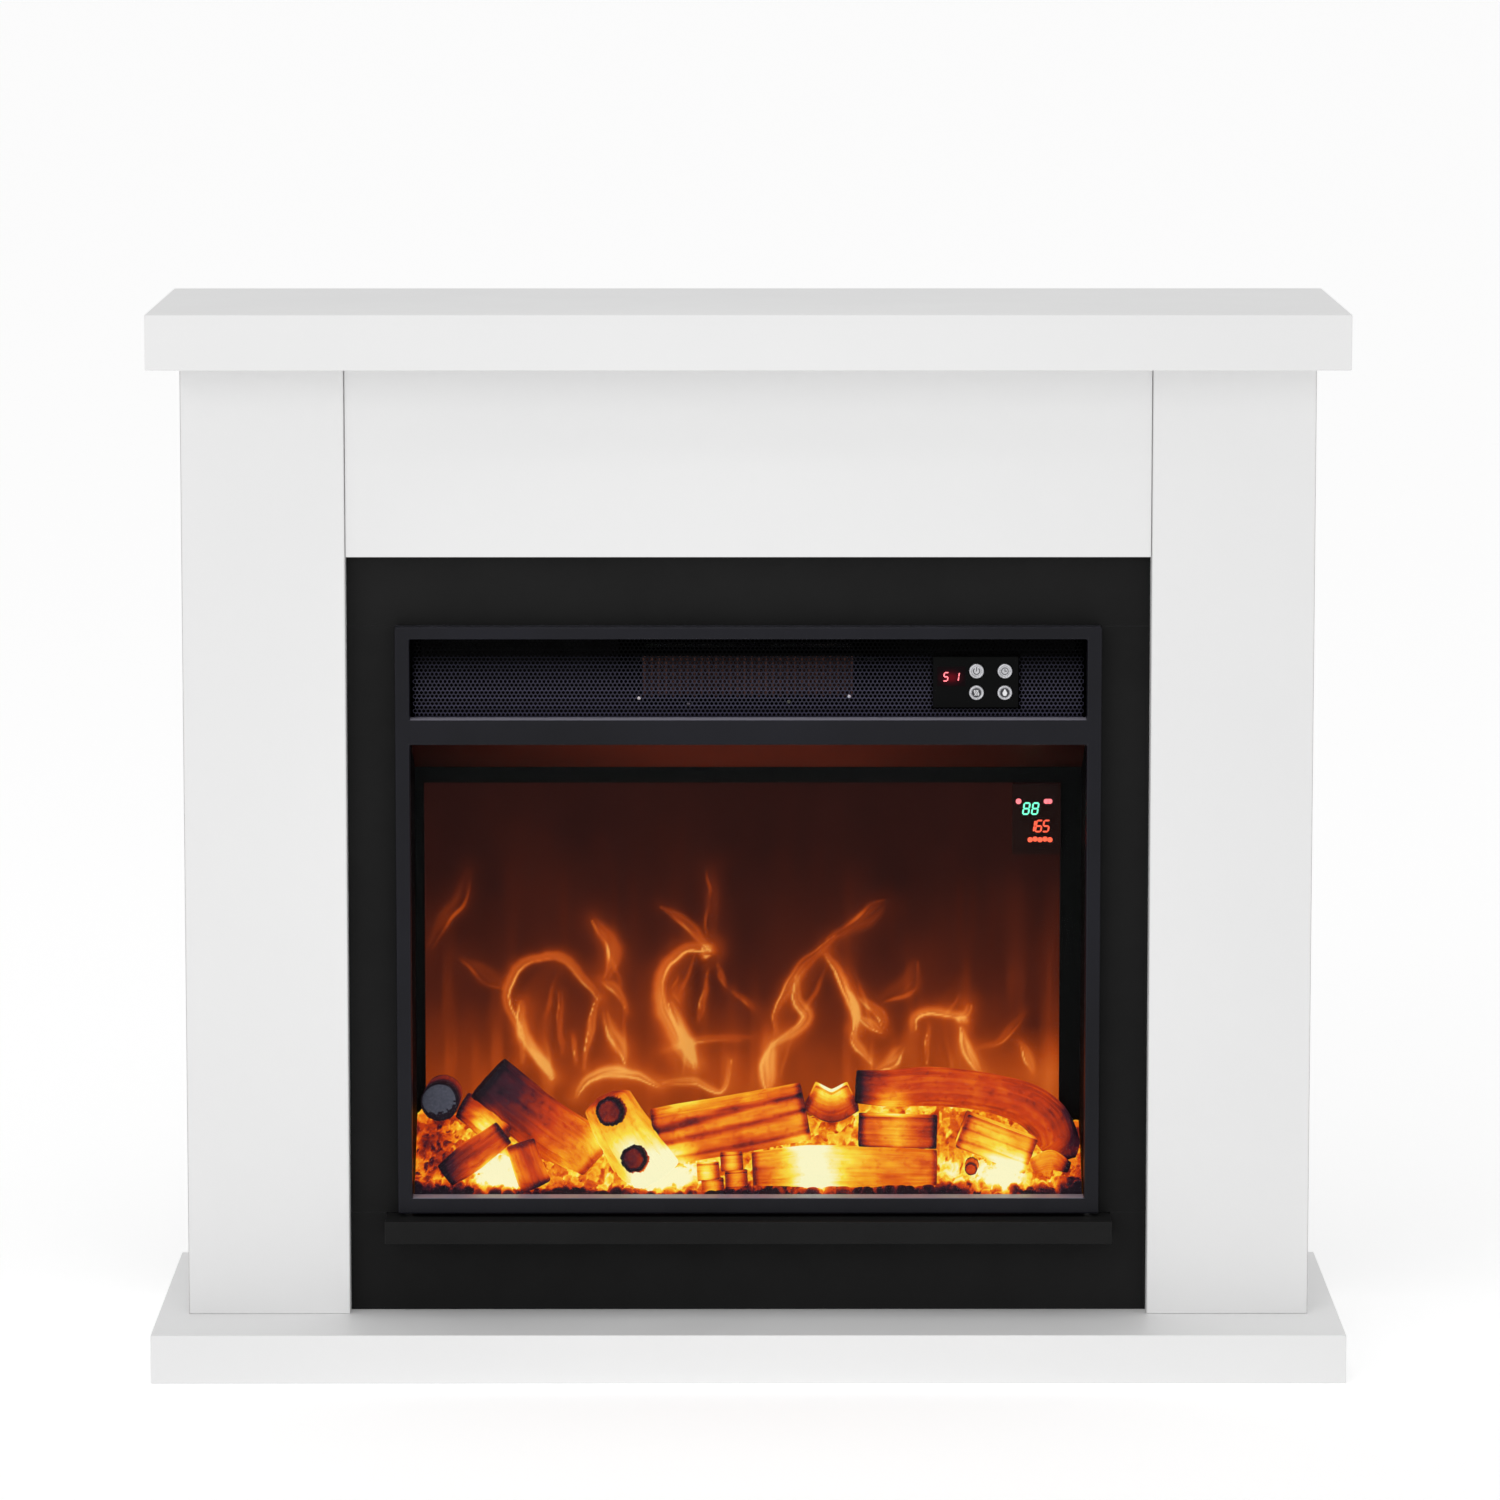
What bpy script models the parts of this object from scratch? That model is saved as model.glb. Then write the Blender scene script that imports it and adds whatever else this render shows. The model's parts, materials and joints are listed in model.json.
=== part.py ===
"""Electric fireplace: a white mantel surround around a black electric insert.

Metres, +Z up, +X to the viewer's right, front towards -Y. The origin is the centre of the
footprint at floor level. Every board, panel and mechanism part is its own object.
"""

import math

import bmesh
import bpy
from mathutils import Matrix, Vector

# ---- driving dimensions: the mantel --------------------------------------------------------
GAP = 0.0003  # clearance between pieces that rest on or meet each other
HEIGHT = 0.890
DEPTH = 0.330  # the plinth's depth, and the whole object's
PLINTH_W = 0.996
PLINTH_TOP = 0.041
SHELF_W = 0.992
SHELF_D = 0.304
SHELF_H = 0.046
BODY_W = 0.944  # outside of the two legs
BODY_D = 0.248
LEG_W = 0.136
BOARD = 0.015  # thickness of the white boards
EDGE = 0.0008  # softened board edges

BACK_Y = DEPTH / 2
LEG_Y = BACK_Y - BODY_D
SHELF_FRONT_Y = BACK_Y - SHELF_D
SHELF_Z = HEIGHT - SHELF_H
HALF_BODY = BODY_W / 2
OPENING_X = HALF_BODY - LEG_W  # half the clear width between the legs
SIDE_INNER_X = HALF_BODY - BOARD
RETURN_BACK_Y = BACK_Y - 0.018

HEADER_Z = 0.6835
HEADER_Y = LEG_Y + 0.002

# ---- driving dimensions: the black surround ------------------------------------------------
SURROUND_Y = HEADER_Y + BOARD + 0.0006
SURROUND_T = 0.012
SEAM_LOW_Z = 0.1248
SEAM_HIGH_Z = 0.6237
CUTOUT_X = 0.2895
LEDGE_X = 0.3055
LEDGE_Y = -0.1024
LEDGE_Z = (0.105, 0.124)

# ---- driving dimensions: the insert --------------------------------------------------------
BEZEL_X = 0.295
BEZEL_Z = (0.1269, 0.6248)
BEZEL_Y = (LEG_Y, SURROUND_Y - GAP)
WINDOW_X = 0.2830
WINDOW_Z = (0.1404, 0.5257)
VENT_Z = (0.5470, 0.6146)
SHEET = 0.0015
CASE_X = 0.2850
CASE_Y = (-0.0608, 0.1400)
CASE_Z = (LEDGE_Z[1] + GAP, 0.6198)
FLOOR_Z = CASE_Z[0] + SHEET  # upper face of the casing floor
INNER_X = CASE_X - SHEET
PANE_Y = (SURROUND_Y, SURROUND_Y + 0.004)
GRILLE_Y = (SURROUND_Y, SURROUND_Y + 0.001)
FRAME_Y = (0.0120, 0.0177)
SCREEN_Y = (0.0180, 0.0210)
FRAME_TOP_Z = 0.5000
RAIL_Z = (0.4803, 0.4939)  # the part of the screen frame's top rail that shows
CEILING_FRONT_Z = 0.5270
SIGHT_X = (-0.2757, 0.2657)  # the screen frame's opening
SIGHT_FOOT_Z = 0.172
REBATE = 0.0039  # how far the pane and the outlet plate run behind the bezel at each side
BED_FRONT_Z, BED_MID_Z, BED_BACK_Z = 0.1345, 0.1450, 0.1680
ROD_Y, ROD_Z, VANE_R = 0.082, 0.190, 0.024
FAN_Y, FAN_Z, FAN_R = 0.075, 0.578, 0.022
PANEL_X = (0.1545, 0.2260)
PANEL_Y = (-0.0700, SURROUND_Y - GAP)
PANEL_Z = (0.5555, 0.5985)
BUTTON_X = (0.1909, 0.2146)
BUTTON_Z = (0.5682, 0.5864)
BUTTON_Y = (-0.0715, -0.0640)
BUTTON_R = 0.0062
SWITCH_X, SWITCH_Z = -0.215, 0.170
SWITCH_HALF_W, SWITCH_HALF_H = 0.0097, 0.0132  # the part of the housing inside the cover
GLAND_X, GLAND_Z = 0.225, 0.160
GLAND_R, GLAND_BORE_R = 0.0060, 0.0037
COVER_Y = (CASE_Y[1] + GAP, CASE_Y[1] + GAP + SHEET)

for old in list(bpy.data.objects):
    bpy.data.objects.remove(old)

PARTS = bpy.data.collections.new("electric_fireplace")
CUTTERS = bpy.data.collections.new("cutters")
bpy.context.scene.collection.children.link(PARTS)
bpy.context.scene.collection.children.link(CUTTERS)


# ---- materials -----------------------------------------------------------------------------
def material(name, rgb, roughness, metallic=0.0):
    made = bpy.data.materials.new(name)
    made.use_nodes = True
    shader = made.node_tree.nodes["Principled BSDF"]
    shader.inputs["Base Color"].default_value = (*rgb, 1.0)
    shader.inputs["Roughness"].default_value = roughness
    shader.inputs["Metallic"].default_value = metallic
    made.diffuse_color = (*rgb, 1.0)
    return made


WHITE = material("white_lacquer", (0.80, 0.80, 0.80), 0.45)
RAW_WOOD = material("raw_batten", (0.55, 0.42, 0.28), 0.7)
BLACK_BOARD = material("black_board", (0.014, 0.014, 0.014), 0.5)
BEZEL_PAINT = material("bezel_paint", (0.020, 0.019, 0.026), 0.35)
BLACK_STEEL = material("black_steel", (0.02, 0.02, 0.02), 0.45, 0.6)
GALVANISED = material("galvanised_steel", (0.55, 0.56, 0.58), 0.35, 1.0)
GLASS = material("clear_glass", (0.9, 0.95, 0.93), 0.02)
SCREEN = material("flame_screen", (0.30, 0.08, 0.02), 0.5)
EMBER = material("ember_resin", (0.60, 0.18, 0.03), 0.8)
LOG = material("log_resin", (0.25, 0.08, 0.03), 0.8)
MIRROR = material("polished_aluminium", (0.85, 0.85, 0.86), 0.12, 1.0)
PLASTIC = material("black_plastic", (0.015, 0.015, 0.015), 0.4)
CHROME = material("button_chrome", (0.70, 0.70, 0.72), 0.2, 1.0)
CIRCUIT = material("circuit_board", (0.02, 0.16, 0.06), 0.5)
CERAMIC = material("heater_fins", (0.45, 0.40, 0.36), 0.45, 0.7)
MOTOR = material("motor_steel", (0.40, 0.41, 0.43), 0.4, 0.9)


# ---- shapes --------------------------------------------------------------------------------
def add(name, mesh, paint, collection=PARTS):
    """Links a new object with this mesh and material."""
    made = bpy.data.objects.new(name, mesh)
    collection.objects.link(made)
    if paint:
        mesh.materials.append(paint)
    if collection is CUTTERS:
        made.hide_render = True
        made.display_type = "WIRE"
    return made


def box(name, x, y, z, paint, collection=PARTS):
    """A box between the two limits given for each axis, with its origin at its centre."""
    mesh = bpy.data.meshes.new(name)
    shape = bmesh.new()
    bmesh.ops.create_cube(shape, size=1.0)
    size = (x[1] - x[0], y[1] - y[0], z[1] - z[0])
    bmesh.ops.scale(shape, vec=size, verts=shape.verts)
    shape.to_mesh(mesh)
    shape.free()
    made = add(name, mesh, paint, collection)
    made.location = (sum(x) / 2, sum(y) / 2, sum(z) / 2)
    return made


AXIS_TURN = {
    "X": Matrix.Rotation(math.pi / 2, 4, "Y"),
    "Y": Matrix.Rotation(-math.pi / 2, 4, "X"),
    "Z": Matrix.Identity(4),
}


def cylinder(name, radius, span, axis, centre, paint, sides=24, collection=PARTS):
    """A round bar along axis between the two limits of span; centre holds its other two coordinates."""
    mesh = bpy.data.meshes.new(name)
    shape = bmesh.new()
    bmesh.ops.create_cone(
        shape, cap_ends=True, segments=sides, radius1=radius, radius2=radius, depth=span[1] - span[0]
    )
    bmesh.ops.transform(shape, matrix=AXIS_TURN[axis], verts=shape.verts)
    shape.to_mesh(mesh)
    shape.free()
    mesh.shade_smooth()
    mesh.set_sharp_from_angle(angle=math.radians(40))
    made = add(name, mesh, paint, collection)
    place = list(centre)
    place.insert("XYZ".index(axis), sum(span) / 2)
    made.location = place
    return made


# A flat outline is drawn in its own plane, (u, v), and stood up by one of these turns, which
# send u, v and the extrusion onto the object's axes.
PLANE_TURN = {
    "XY": Matrix.Identity(4),
    "XZ": Matrix.Rotation(math.pi / 2, 4, "X"),
    "YZ": Matrix.Rotation(math.pi / 2, 4, "Z") @ Matrix.Rotation(math.pi / 2, 4, "X"),
}
EXTRUDE_AXIS = {"XY": 2, "XZ": 1, "YZ": 0}


def plate(name, plane, outlines, span, paint):
    """A flat plate: the first outline is its edge and the others are holes; span is its two faces."""
    curve = bpy.data.curves.new(name, "CURVE")
    curve.dimensions = "2D"
    curve.fill_mode = "BOTH"
    curve.extrude = (span[1] - span[0]) / 2
    for outline in outlines:
        spline = curve.splines.new("POLY")
        spline.points.add(len(outline) - 1)
        for point, (u, v) in zip(spline.points, outline):
            point.co = (u, v, 0, 1)
        spline.use_cyclic_u = True
    made = add(name, curve, paint)
    place = Vector((0, 0, 0))
    place[EXTRUDE_AXIS[plane]] = sum(span) / 2
    made.matrix_world = Matrix.Translation(place) @ PLANE_TURN[plane]
    return made


def rectangle(u, v):
    return [(u[0], v[0]), (u[1], v[0]), (u[1], v[1]), (u[0], v[1])]


def around(centre, half):
    """The two limits of a span that reaches half to each side of its centre."""
    return (centre - half, centre + half)


def as_mesh(made):
    """Replaces a curve object by a welded mesh object of the same name and place."""
    bpy.context.view_layer.update()
    graph = bpy.context.evaluated_depsgraph_get()
    mesh = bpy.data.meshes.new_from_object(made.evaluated_get(graph))
    shape = bmesh.new()
    shape.from_mesh(mesh)
    bmesh.ops.remove_doubles(shape, verts=shape.verts, dist=1e-5)
    shape.to_mesh(mesh)
    shape.free()
    name, world = made.name, made.matrix_world.copy()
    bpy.data.objects.remove(made)
    made = bpy.data.objects.new(name, mesh)
    made.matrix_world = world
    PARTS.objects.link(made)
    return made


def boolean(target, tool, operation):
    step = target.modifiers.new(operation.lower(), "BOOLEAN")
    step.operation = operation
    step.object = tool
    return target


def soften(target, width=EDGE, segments=2):
    """Rounds every sharp edge of a piece."""
    step = target.modifiers.new("softened", "BEVEL")
    step.width = width
    step.segments = segments
    step.limit_method = "ANGLE"
    step.angle_limit = math.radians(40)
    return target


def cut(target, *tools):
    for tool in tools:
        boolean(target, tool, "DIFFERENCE")
    return target


def joined(target, *tools):
    for tool in tools:
        boolean(target, tool, "UNION")
    return target


def tube(name, points, radius, paint, resolution=2, radii=None):
    """A round bar or wire along these points, with closed ends."""
    curve = bpy.data.curves.new(name, "CURVE")
    curve.dimensions = "3D"
    curve.bevel_depth = radius
    curve.bevel_resolution = resolution
    curve.use_fill_caps = True
    spline = curve.splines.new("POLY")
    spline.points.add(len(points) - 1)
    for i, (point, place) in enumerate(zip(spline.points, points)):
        point.co = (*place, 1)
        point.radius = radii[i] / radius if radii else 1.0
    return add(name, curve, paint)


def smooth_path(knots, steps):
    """Points on a Catmull-Rom curve through the knots, with this many steps between each pair."""
    ends = [2 * Vector(knots[0]) - Vector(knots[1])]
    chain = ends + [Vector(k) for k in knots] + [2 * Vector(knots[-1]) - Vector(knots[-2])]
    found = []
    for a, b, c, d in zip(chain, chain[1:], chain[2:], chain[3:]):
        bend = 2 * a - 5 * b + 4 * c - d
        turn = 3 * b - a - 3 * c + d
        for i in range(steps):
            t = i / steps
            found.append(0.5 * (2 * b + (c - a) * t + bend * t**2 + turn * t**3))
    return found + [chain[-2]]


def arc(centre, radius, start, end, steps):
    """Points on an arc in degrees, ends included."""
    angles = [math.radians(start + (end - start) * i / steps) for i in range(steps + 1)]
    return [(centre[0] + radius * math.cos(a), centre[1] + radius * math.sin(a)) for a in angles]


# ---- the mantel ----------------------------------------------------------------------------
def boxed_board(name, width, y, z, opens_down_to):
    """A board boxed from thinner ones: closed on top, in front and at the sides, open below and behind."""
    half = width / 2
    outside = soften(box(name, (-half, half), y, z, WHITE))
    inner = half - BOARD
    hollow = box(
        name + "_hollow",
        (-inner, inner),
        (y[0] + BOARD, y[1] + BOARD),
        (opens_down_to, z[1] - BOARD),
        None,
        CUTTERS,
    )
    return cut(outside, hollow)


def build_plinth():
    boxed_board("plinth", PLINTH_W, (-BACK_Y, BACK_Y), (0.0, PLINTH_TOP), -BOARD)


def build_shelf():
    underside_t = 0.012
    boxed_board("mantel_shelf", SHELF_W, (SHELF_FRONT_Y, BACK_Y), (SHELF_Z, HEIGHT), SHELF_Z - BOARD)
    inner = SHELF_W / 2 - BOARD - GAP
    front = SHELF_FRONT_Y + BOARD + GAP
    box("shelf_underside", (-inner, inner), (front, BACK_Y), (SHELF_Z, SHELF_Z + underside_t), WHITE)


def build_leg(side, sign):
    """One leg: a front board with mitred edges, the outer side board and the inner return."""
    tall = (PLINTH_TOP + GAP, SHELF_Z - GAP)
    mitre = GAP * math.sqrt(2)
    back_of_front = LEG_Y + BOARD
    boards = {
        "front": [
            (HALF_BODY - mitre, LEG_Y),
            (HALF_BODY - BOARD - mitre, back_of_front),
            (OPENING_X + BOARD + mitre, back_of_front),
            (OPENING_X + mitre, LEG_Y),
        ],
        "side": [
            (HALF_BODY, LEG_Y),
            (HALF_BODY, BACK_Y),
            (SIDE_INNER_X, BACK_Y),
            (SIDE_INNER_X, back_of_front),
        ],
        "return": [
            (OPENING_X, LEG_Y),
            (OPENING_X + BOARD, back_of_front),
            (OPENING_X + BOARD, RETURN_BACK_Y),
            (OPENING_X, RETURN_BACK_Y),
        ],
    }
    for board, outline in boards.items():
        placed = [(sign * x, y) for x, y in outline]
        plate(f"{side}_leg_{board}", "XY", [placed], tall, WHITE)


def build_mantel():
    build_plinth()
    build_shelf()
    build_leg("left", -1)
    build_leg("right", 1)
    header_x = OPENING_X - 0.0005
    header_y = (HEADER_Y, HEADER_Y + BOARD)
    box("header_panel", (-header_x, header_x), header_y, (HEADER_Z, SHELF_Z - GAP), WHITE)
    rail_x = SIDE_INNER_X - GAP
    rail_y = (BACK_Y - BOARD, BACK_Y)
    rail_h = 0.100
    box("back_top_rail", (-rail_x, rail_x), rail_y, (SHELF_Z - rail_h, SHELF_Z - GAP), WHITE)


# ---- the black surround --------------------------------------------------------------------
def build_surround():
    wide = OPENING_X - GAP
    thick = (SURROUND_Y, SURROUND_Y + SURROUND_T)
    behind_header = 0.0165  # how far the top board runs up behind the header
    top_z = (SEAM_HIGH_Z + GAP, HEADER_Z + behind_header)
    box("surround_top", (-wide, wide), thick, top_z, BLACK_BOARD)
    stile_z = (SEAM_LOW_Z + GAP, SEAM_HIGH_Z)
    box("surround_left", (-wide, -CUTOUT_X), thick, stile_z, BLACK_BOARD)
    box("surround_right", (CUTOUT_X, wide), thick, stile_z, BLACK_BOARD)
    low, high = PLINTH_TOP + GAP, SEAM_LOW_Z
    notch_x, notch_z = LEDGE_X + GAP, LEDGE_Z[0] - GAP
    outline = [
        (-wide, low),
        (wide, low),
        (wide, high),
        (notch_x, high),
        (notch_x, notch_z),
        (-notch_x, notch_z),
        (-notch_x, high),
        (-wide, high),
    ]
    plate("surround_bottom", "XZ", [outline], thick, BLACK_BOARD)
    build_insert_shelf(wide)
    rail_y, rail_z = (0.085, 0.100), (low, LEDGE_Z[0] - GAP)
    box("insert_shelf_rail", (-wide, wide), rail_y, rail_z, RAW_WOOD)


def build_insert_shelf(wide):
    """The board the insert stands on: the ledge in front, widening behind the surround to meet the legs."""
    behind = SURROUND_Y + SURROUND_T + GAP
    outline = [
        (-LEDGE_X, LEDGE_Y),
        (LEDGE_X, LEDGE_Y),
        (LEDGE_X, behind),
        (wide, behind),
        (wide, RETURN_BACK_Y),
        (-wide, RETURN_BACK_Y),
        (-wide, behind),
        (-LEDGE_X, behind),
    ]
    soften(as_mesh(plate("insert_shelf", "XY", [outline], LEDGE_Z, BLACK_BOARD)), EDGE)


# ---- the insert's shell --------------------------------------------------------------------
def build_bezel():
    window = (-WINDOW_X, WINDOW_X)
    outlines = [
        rectangle((-BEZEL_X, BEZEL_X), BEZEL_Z),
        rectangle(window, WINDOW_Z),
        rectangle(window, VENT_Z),
    ]
    soften(as_mesh(plate("bezel", "XZ", outlines, BEZEL_Y, BEZEL_PAINT)), 0.0012)
    lap = 0.0045  # how far the pane runs behind the bezel above and below
    pane_z = (WINDOW_Z[0] - lap, WINDOW_Z[1] + lap)
    pane_x = WINDOW_X + REBATE
    box("front_glass", (-pane_x, pane_x), PANE_Y, pane_z, GLASS)


def build_grille():
    """The outlet plate with rows of slots, left out around the opening behind the control panel."""
    plate_x, plate_z = WINDOW_X + REBATE, (0.5330, 0.6180)
    outlines = [rectangle((-plate_x, plate_x), plate_z)]
    rows, columns, bridge, pitch = 9, 8, 0.008, 0.0073
    slot_h, slot_w = 0.0030, 2 * WINDOW_X / columns - bridge
    margin = 0.003
    for row in range(rows):
        z = VENT_Z[0] + bridge / 2 + row * pitch
        for column in range(columns):
            x = -WINDOW_X + bridge / 2 + column * (slot_w + bridge)
            end = x + slot_w
            if end > PANEL_X[0] - margin and x < PANEL_X[1] + margin:
                continue
            outlines.append(rectangle((x, end), (z, z + slot_h)))
    behind_x = (PANEL_X[0] + margin, PANEL_X[1] - margin)
    behind_z = (PANEL_Z[0] + margin, PANEL_Z[1] - margin)
    outlines.append(rectangle(behind_x, behind_z))
    plate("outlet_grille", "XZ", outlines, GRILLE_Y, BLACK_STEEL)


def build_casing():
    side_z = (FLOOR_Z + GAP, CASE_Z[1] - SHEET - GAP)
    box("casing_floor", (-CASE_X, CASE_X), CASE_Y, (CASE_Z[0], FLOOR_Z), BLACK_STEEL)
    box("casing_left", (-CASE_X, -INNER_X), CASE_Y, side_z, BLACK_STEEL)
    box("casing_right", (INNER_X, CASE_X), CASE_Y, side_z, BLACK_STEEL)
    box("casing_top", (-CASE_X, CASE_X), CASE_Y, (CASE_Z[1] - SHEET, CASE_Z[1]), BLACK_STEEL)


def build_rear_cover():
    """The rear cover: air slots at the fan and the flame drive, and holes for switch and gland."""
    outlines = [rectangle((-CASE_X, CASE_X), CASE_Z)]
    slot_w, slot_h, pitch = 0.004, 0.050, 0.012
    for z, count in ((FAN_Z - slot_h / 2, 16), (ROD_Z + 0.035, 14)):
        for i in range(count):
            x = (i - (count - 1) / 2) * pitch - slot_w / 2
            outlines.append(rectangle((x, x + slot_w), (z, z + slot_h)))
    switch_x, switch_z = around(SWITCH_X, SWITCH_HALF_W + GAP), around(SWITCH_Z, SWITCH_HALF_H + GAP)
    outlines.append(rectangle(switch_x, switch_z))
    outlines.append(arc((GLAND_X, GLAND_Z), GLAND_R + 0.0004, 0, 345, 23))
    plate("rear_cover", "XZ", outlines, COVER_Y, BLACK_STEEL)


# ---- firebox and flame effect --------------------------------------------------------------
def build_firebox():
    front, back = CASE_Y[0] + GAP, FRAME_Y[0] - GAP
    thick = 0.0017
    ceiling = [
        (front, CEILING_FRONT_Z),
        (back, RAIL_Z[1]),
        (back, RAIL_Z[1] + thick),
        (front, CEILING_FRONT_Z + thick),
    ]
    inside = INNER_X - GAP
    plate("firebox_ceiling", "YZ", [ceiling], (-inside, inside), BLACK_STEEL)
    tall = (FLOOR_Z + GAP, FRAME_TOP_Z)
    outer = rectangle((-inside, inside), tall)
    opening = rectangle(SIGHT_X, (SIGHT_FOOT_Z, RAIL_Z[0]))
    plate("screen_frame", "XZ", [outer, opening], FRAME_Y, BLACK_STEEL)
    box("flame_screen", (-inside, inside), SCREEN_Y, tall, SCREEN)
    display_x = (SIGHT_X[1] - 0.0410, SIGHT_X[1] - 0.0010)
    display_z = (RAIL_Z[0] - 0.0608, RAIL_Z[0] - 0.0006)
    box("display_module", display_x, (0.0055, back), display_z, PLASTIC)


def flame_slot(x, z, height, width, lean):
    """A flame-shaped hole: a pointed leaf whose tip leans to one side."""
    steps = 6
    sides = []
    for sign in (1, -1):
        side = []
        for i in range(1, steps):
            t = i / steps
            half = width / 2 * math.sin(math.pi * t**0.6)
            side.append((x + lean * t**2 + sign * half, z + height * t))
        sides.append(side)
    return [(x, z)] + sides[0] + [(x + lean, z + height)] + sides[1][::-1]


def build_stencil():
    """The flame stencil, a bright sheet whose leaf-shaped holes give the moving light its shape."""
    half, top, foot = 0.270, 0.360, 0.205
    outlines = [rectangle((-half, half), (FLOOR_Z + GAP, top))]
    count, pitch, width, lean = 9, 0.056, 0.020, 0.012
    for i in range(count):
        x = (i - (count - 1) / 2) * pitch
        tall = 0.120 + 0.035 * math.sin(2.4 * i)
        outlines.append(flame_slot(x, foot, tall, width, lean * (-1) ** i))
    plate("flame_stencil", "XZ", outlines, (0.0450, 0.0465), MIRROR)


def build_flame_rod():
    """The turning rod: a thin shaft with bright vanes at changing angles, and its rubber coupling."""
    rod = cylinder("flame_rod", 0.002, (-0.243, 0.233), "X", (ROD_Y, ROD_Z), MIRROR, 12)
    vanes, pitch, half_w, half_t = 12, 0.0385, 0.014, 0.0004
    for i in range(vanes):
        x = (i - (vanes - 1) / 2) * pitch
        vane_y, vane_z = (-VANE_R, VANE_R), (-half_t, half_t)
        vane = box(f"vane_{i}", around(x, half_w), vane_y, vane_z, None, CUTTERS)
        vane.location = (x, ROD_Y, ROD_Z)
        vane.rotation_euler = (math.radians(137.5 * i + 10), 0, 0)
        joined(rod, vane)
    sleeve_x = (0.2295, 0.2415)
    coupling = cylinder("rod_coupling", 0.0050, sleeve_x, "X", (ROD_Y, ROD_Z), None, 16, CUTTERS)
    joined(rod, coupling)


def build_flame_drive():
    bearing_z = (FLOOR_Z + GAP, ROD_Z + 0.012)
    bearing = box("rod_bearing", (-0.2450, -0.2390), around(ROD_Y, 0.010), bearing_z, PLASTIC)
    bore = cylinder("rod_bore", 0.0026, (-0.250, -0.230), "X", (ROD_Y, ROD_Z), None, 24, CUTTERS)
    cut(bearing, bore)
    motor = cylinder("flame_motor", 0.021, (0.2420, 0.2580), "X", (ROD_Y, ROD_Z), MOTOR, 28)
    foot_z = (FLOOR_Z + GAP, ROD_Z)
    foot = box("motor_foot", (0.2570, 0.2600), around(ROD_Y, 0.026), foot_z, None, CUTTERS)
    joined(motor, foot)
    lamps = box("flame_led_bar", (-0.240, 0.230), (0.1180, 0.1196), (FLOOR_Z + GAP, 0.205), CIRCUIT)
    count, pitch, half = 16, 0.0285, 0.0025
    for i in range(count):
        x = -0.005 + (i - (count - 1) / 2) * pitch
        lamp_y, lamp_z = (0.1165, 0.1185), around(ROD_Z, half)
        lamp = box(f"lamp_{i}", around(x, half), lamp_y, lamp_z, None, CUTTERS)
        joined(lamps, lamp)


def build_ember_bed():
    """The ember bed, a thin moulding that bridges its lamp board and rises towards the back."""
    front, middle, back = CASE_Y[0] + 2 * GAP, -0.0400, FRAME_Y[0] - 2 * GAP
    low, wall = FLOOR_Z + GAP, 0.0025
    profile = [
        (front, low),
        (front + wall, low),
        (front + wall, BED_FRONT_Z - wall + 0.0012),
        (middle, BED_MID_Z - wall),
        (back - wall, BED_BACK_Z - wall - 0.0010),
        (back - wall, low),
        (back, low),
        (back, BED_BACK_Z),
        (middle, BED_MID_Z),
        (front, BED_FRONT_Z),
    ]
    inside = INNER_X - 3 * GAP
    plate("ember_bed", "YZ", [profile], (-inside, inside), EMBER)
    board_y, board_z = (-0.045, 0.005), (FLOOR_Z + 2 * GAP, FLOOR_Z + 0.0022)
    lamps = box("ember_led_board", (-0.270, 0.270), board_y, board_z, CIRCUIT)
    count, pitch, half = 14, 0.038, 0.0025
    for i in range(count):
        x = (i - (count - 1) / 2) * pitch
        lamp_y, lamp_z = around(-0.020, half), (FLOOR_Z + 0.001, FLOOR_Z + 0.0035)
        lamp = box(f"bed_lamp_{i}", around(x, half), lamp_y, lamp_z, None, CUTTERS)
        joined(lamps, lamp)


def build_logs():
    """Plain shapes for the moulded logs, each clear of the next and of the bed."""
    tube("log_round_end", [(-0.2597, -0.045, 0.2125), (-0.2600, 0.008, 0.2110)], 0.0155, LOG, 3)
    charred = [
        (-0.208, -0.006, 0.2250),
        (-0.170, -0.010, 0.2030),
        (-0.140, -0.016, 0.1850),
        (-0.124, -0.020, 0.1760),
    ]
    tube("log_charred", smooth_path(charred, 2), 0.0150, LOG, 3)
    tube("log_stick", [(-0.205, -0.038, 0.1830), (-0.249, -0.046, 0.1545)], 0.0080, LOG, 2)
    tube("log_branch", [(-0.110, -0.030, 0.2070), (-0.086, -0.041, 0.1690)], 0.0140, LOG, 3)
    split = [(-0.024, 0.170), (0.001, 0.172), (0.003, 0.208), (-0.008, 0.222), (-0.022, 0.210)]
    plate("log_split", "YZ", [split], (-0.082, 0.050), LOG)
    curved = [
        (0.092, -0.008, 0.2180),
        (0.160, -0.008, 0.2220),
        (0.220, -0.008, 0.2150),
        (0.262, -0.008, 0.1900),
    ]
    path = smooth_path(curved, 2)
    thin, swell = 0.0155, 0.0005
    tube("log_curved", path, thin, LOG, 3, [thin + swell * i for i in range(len(path))])
    small = [(-0.047, 0.1765), (-0.027, 0.1775), (-0.026, 0.199), (-0.045, 0.201)]
    plate("log_small", "YZ", [small], (0.094, 0.158), LOG)
    tilted = [(0.1733, 0.1804), (0.2286, 0.1560), (0.2448, 0.1855), (0.1852, 0.2059)]
    plate("log_tilted", "XZ", [tilted], (-0.0460, -0.0290), LOG)
    tube("log_front", [(0.003, -0.044, 0.1600), (0.161, -0.044, 0.1605)], 0.0132, LOG, 3)


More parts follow.
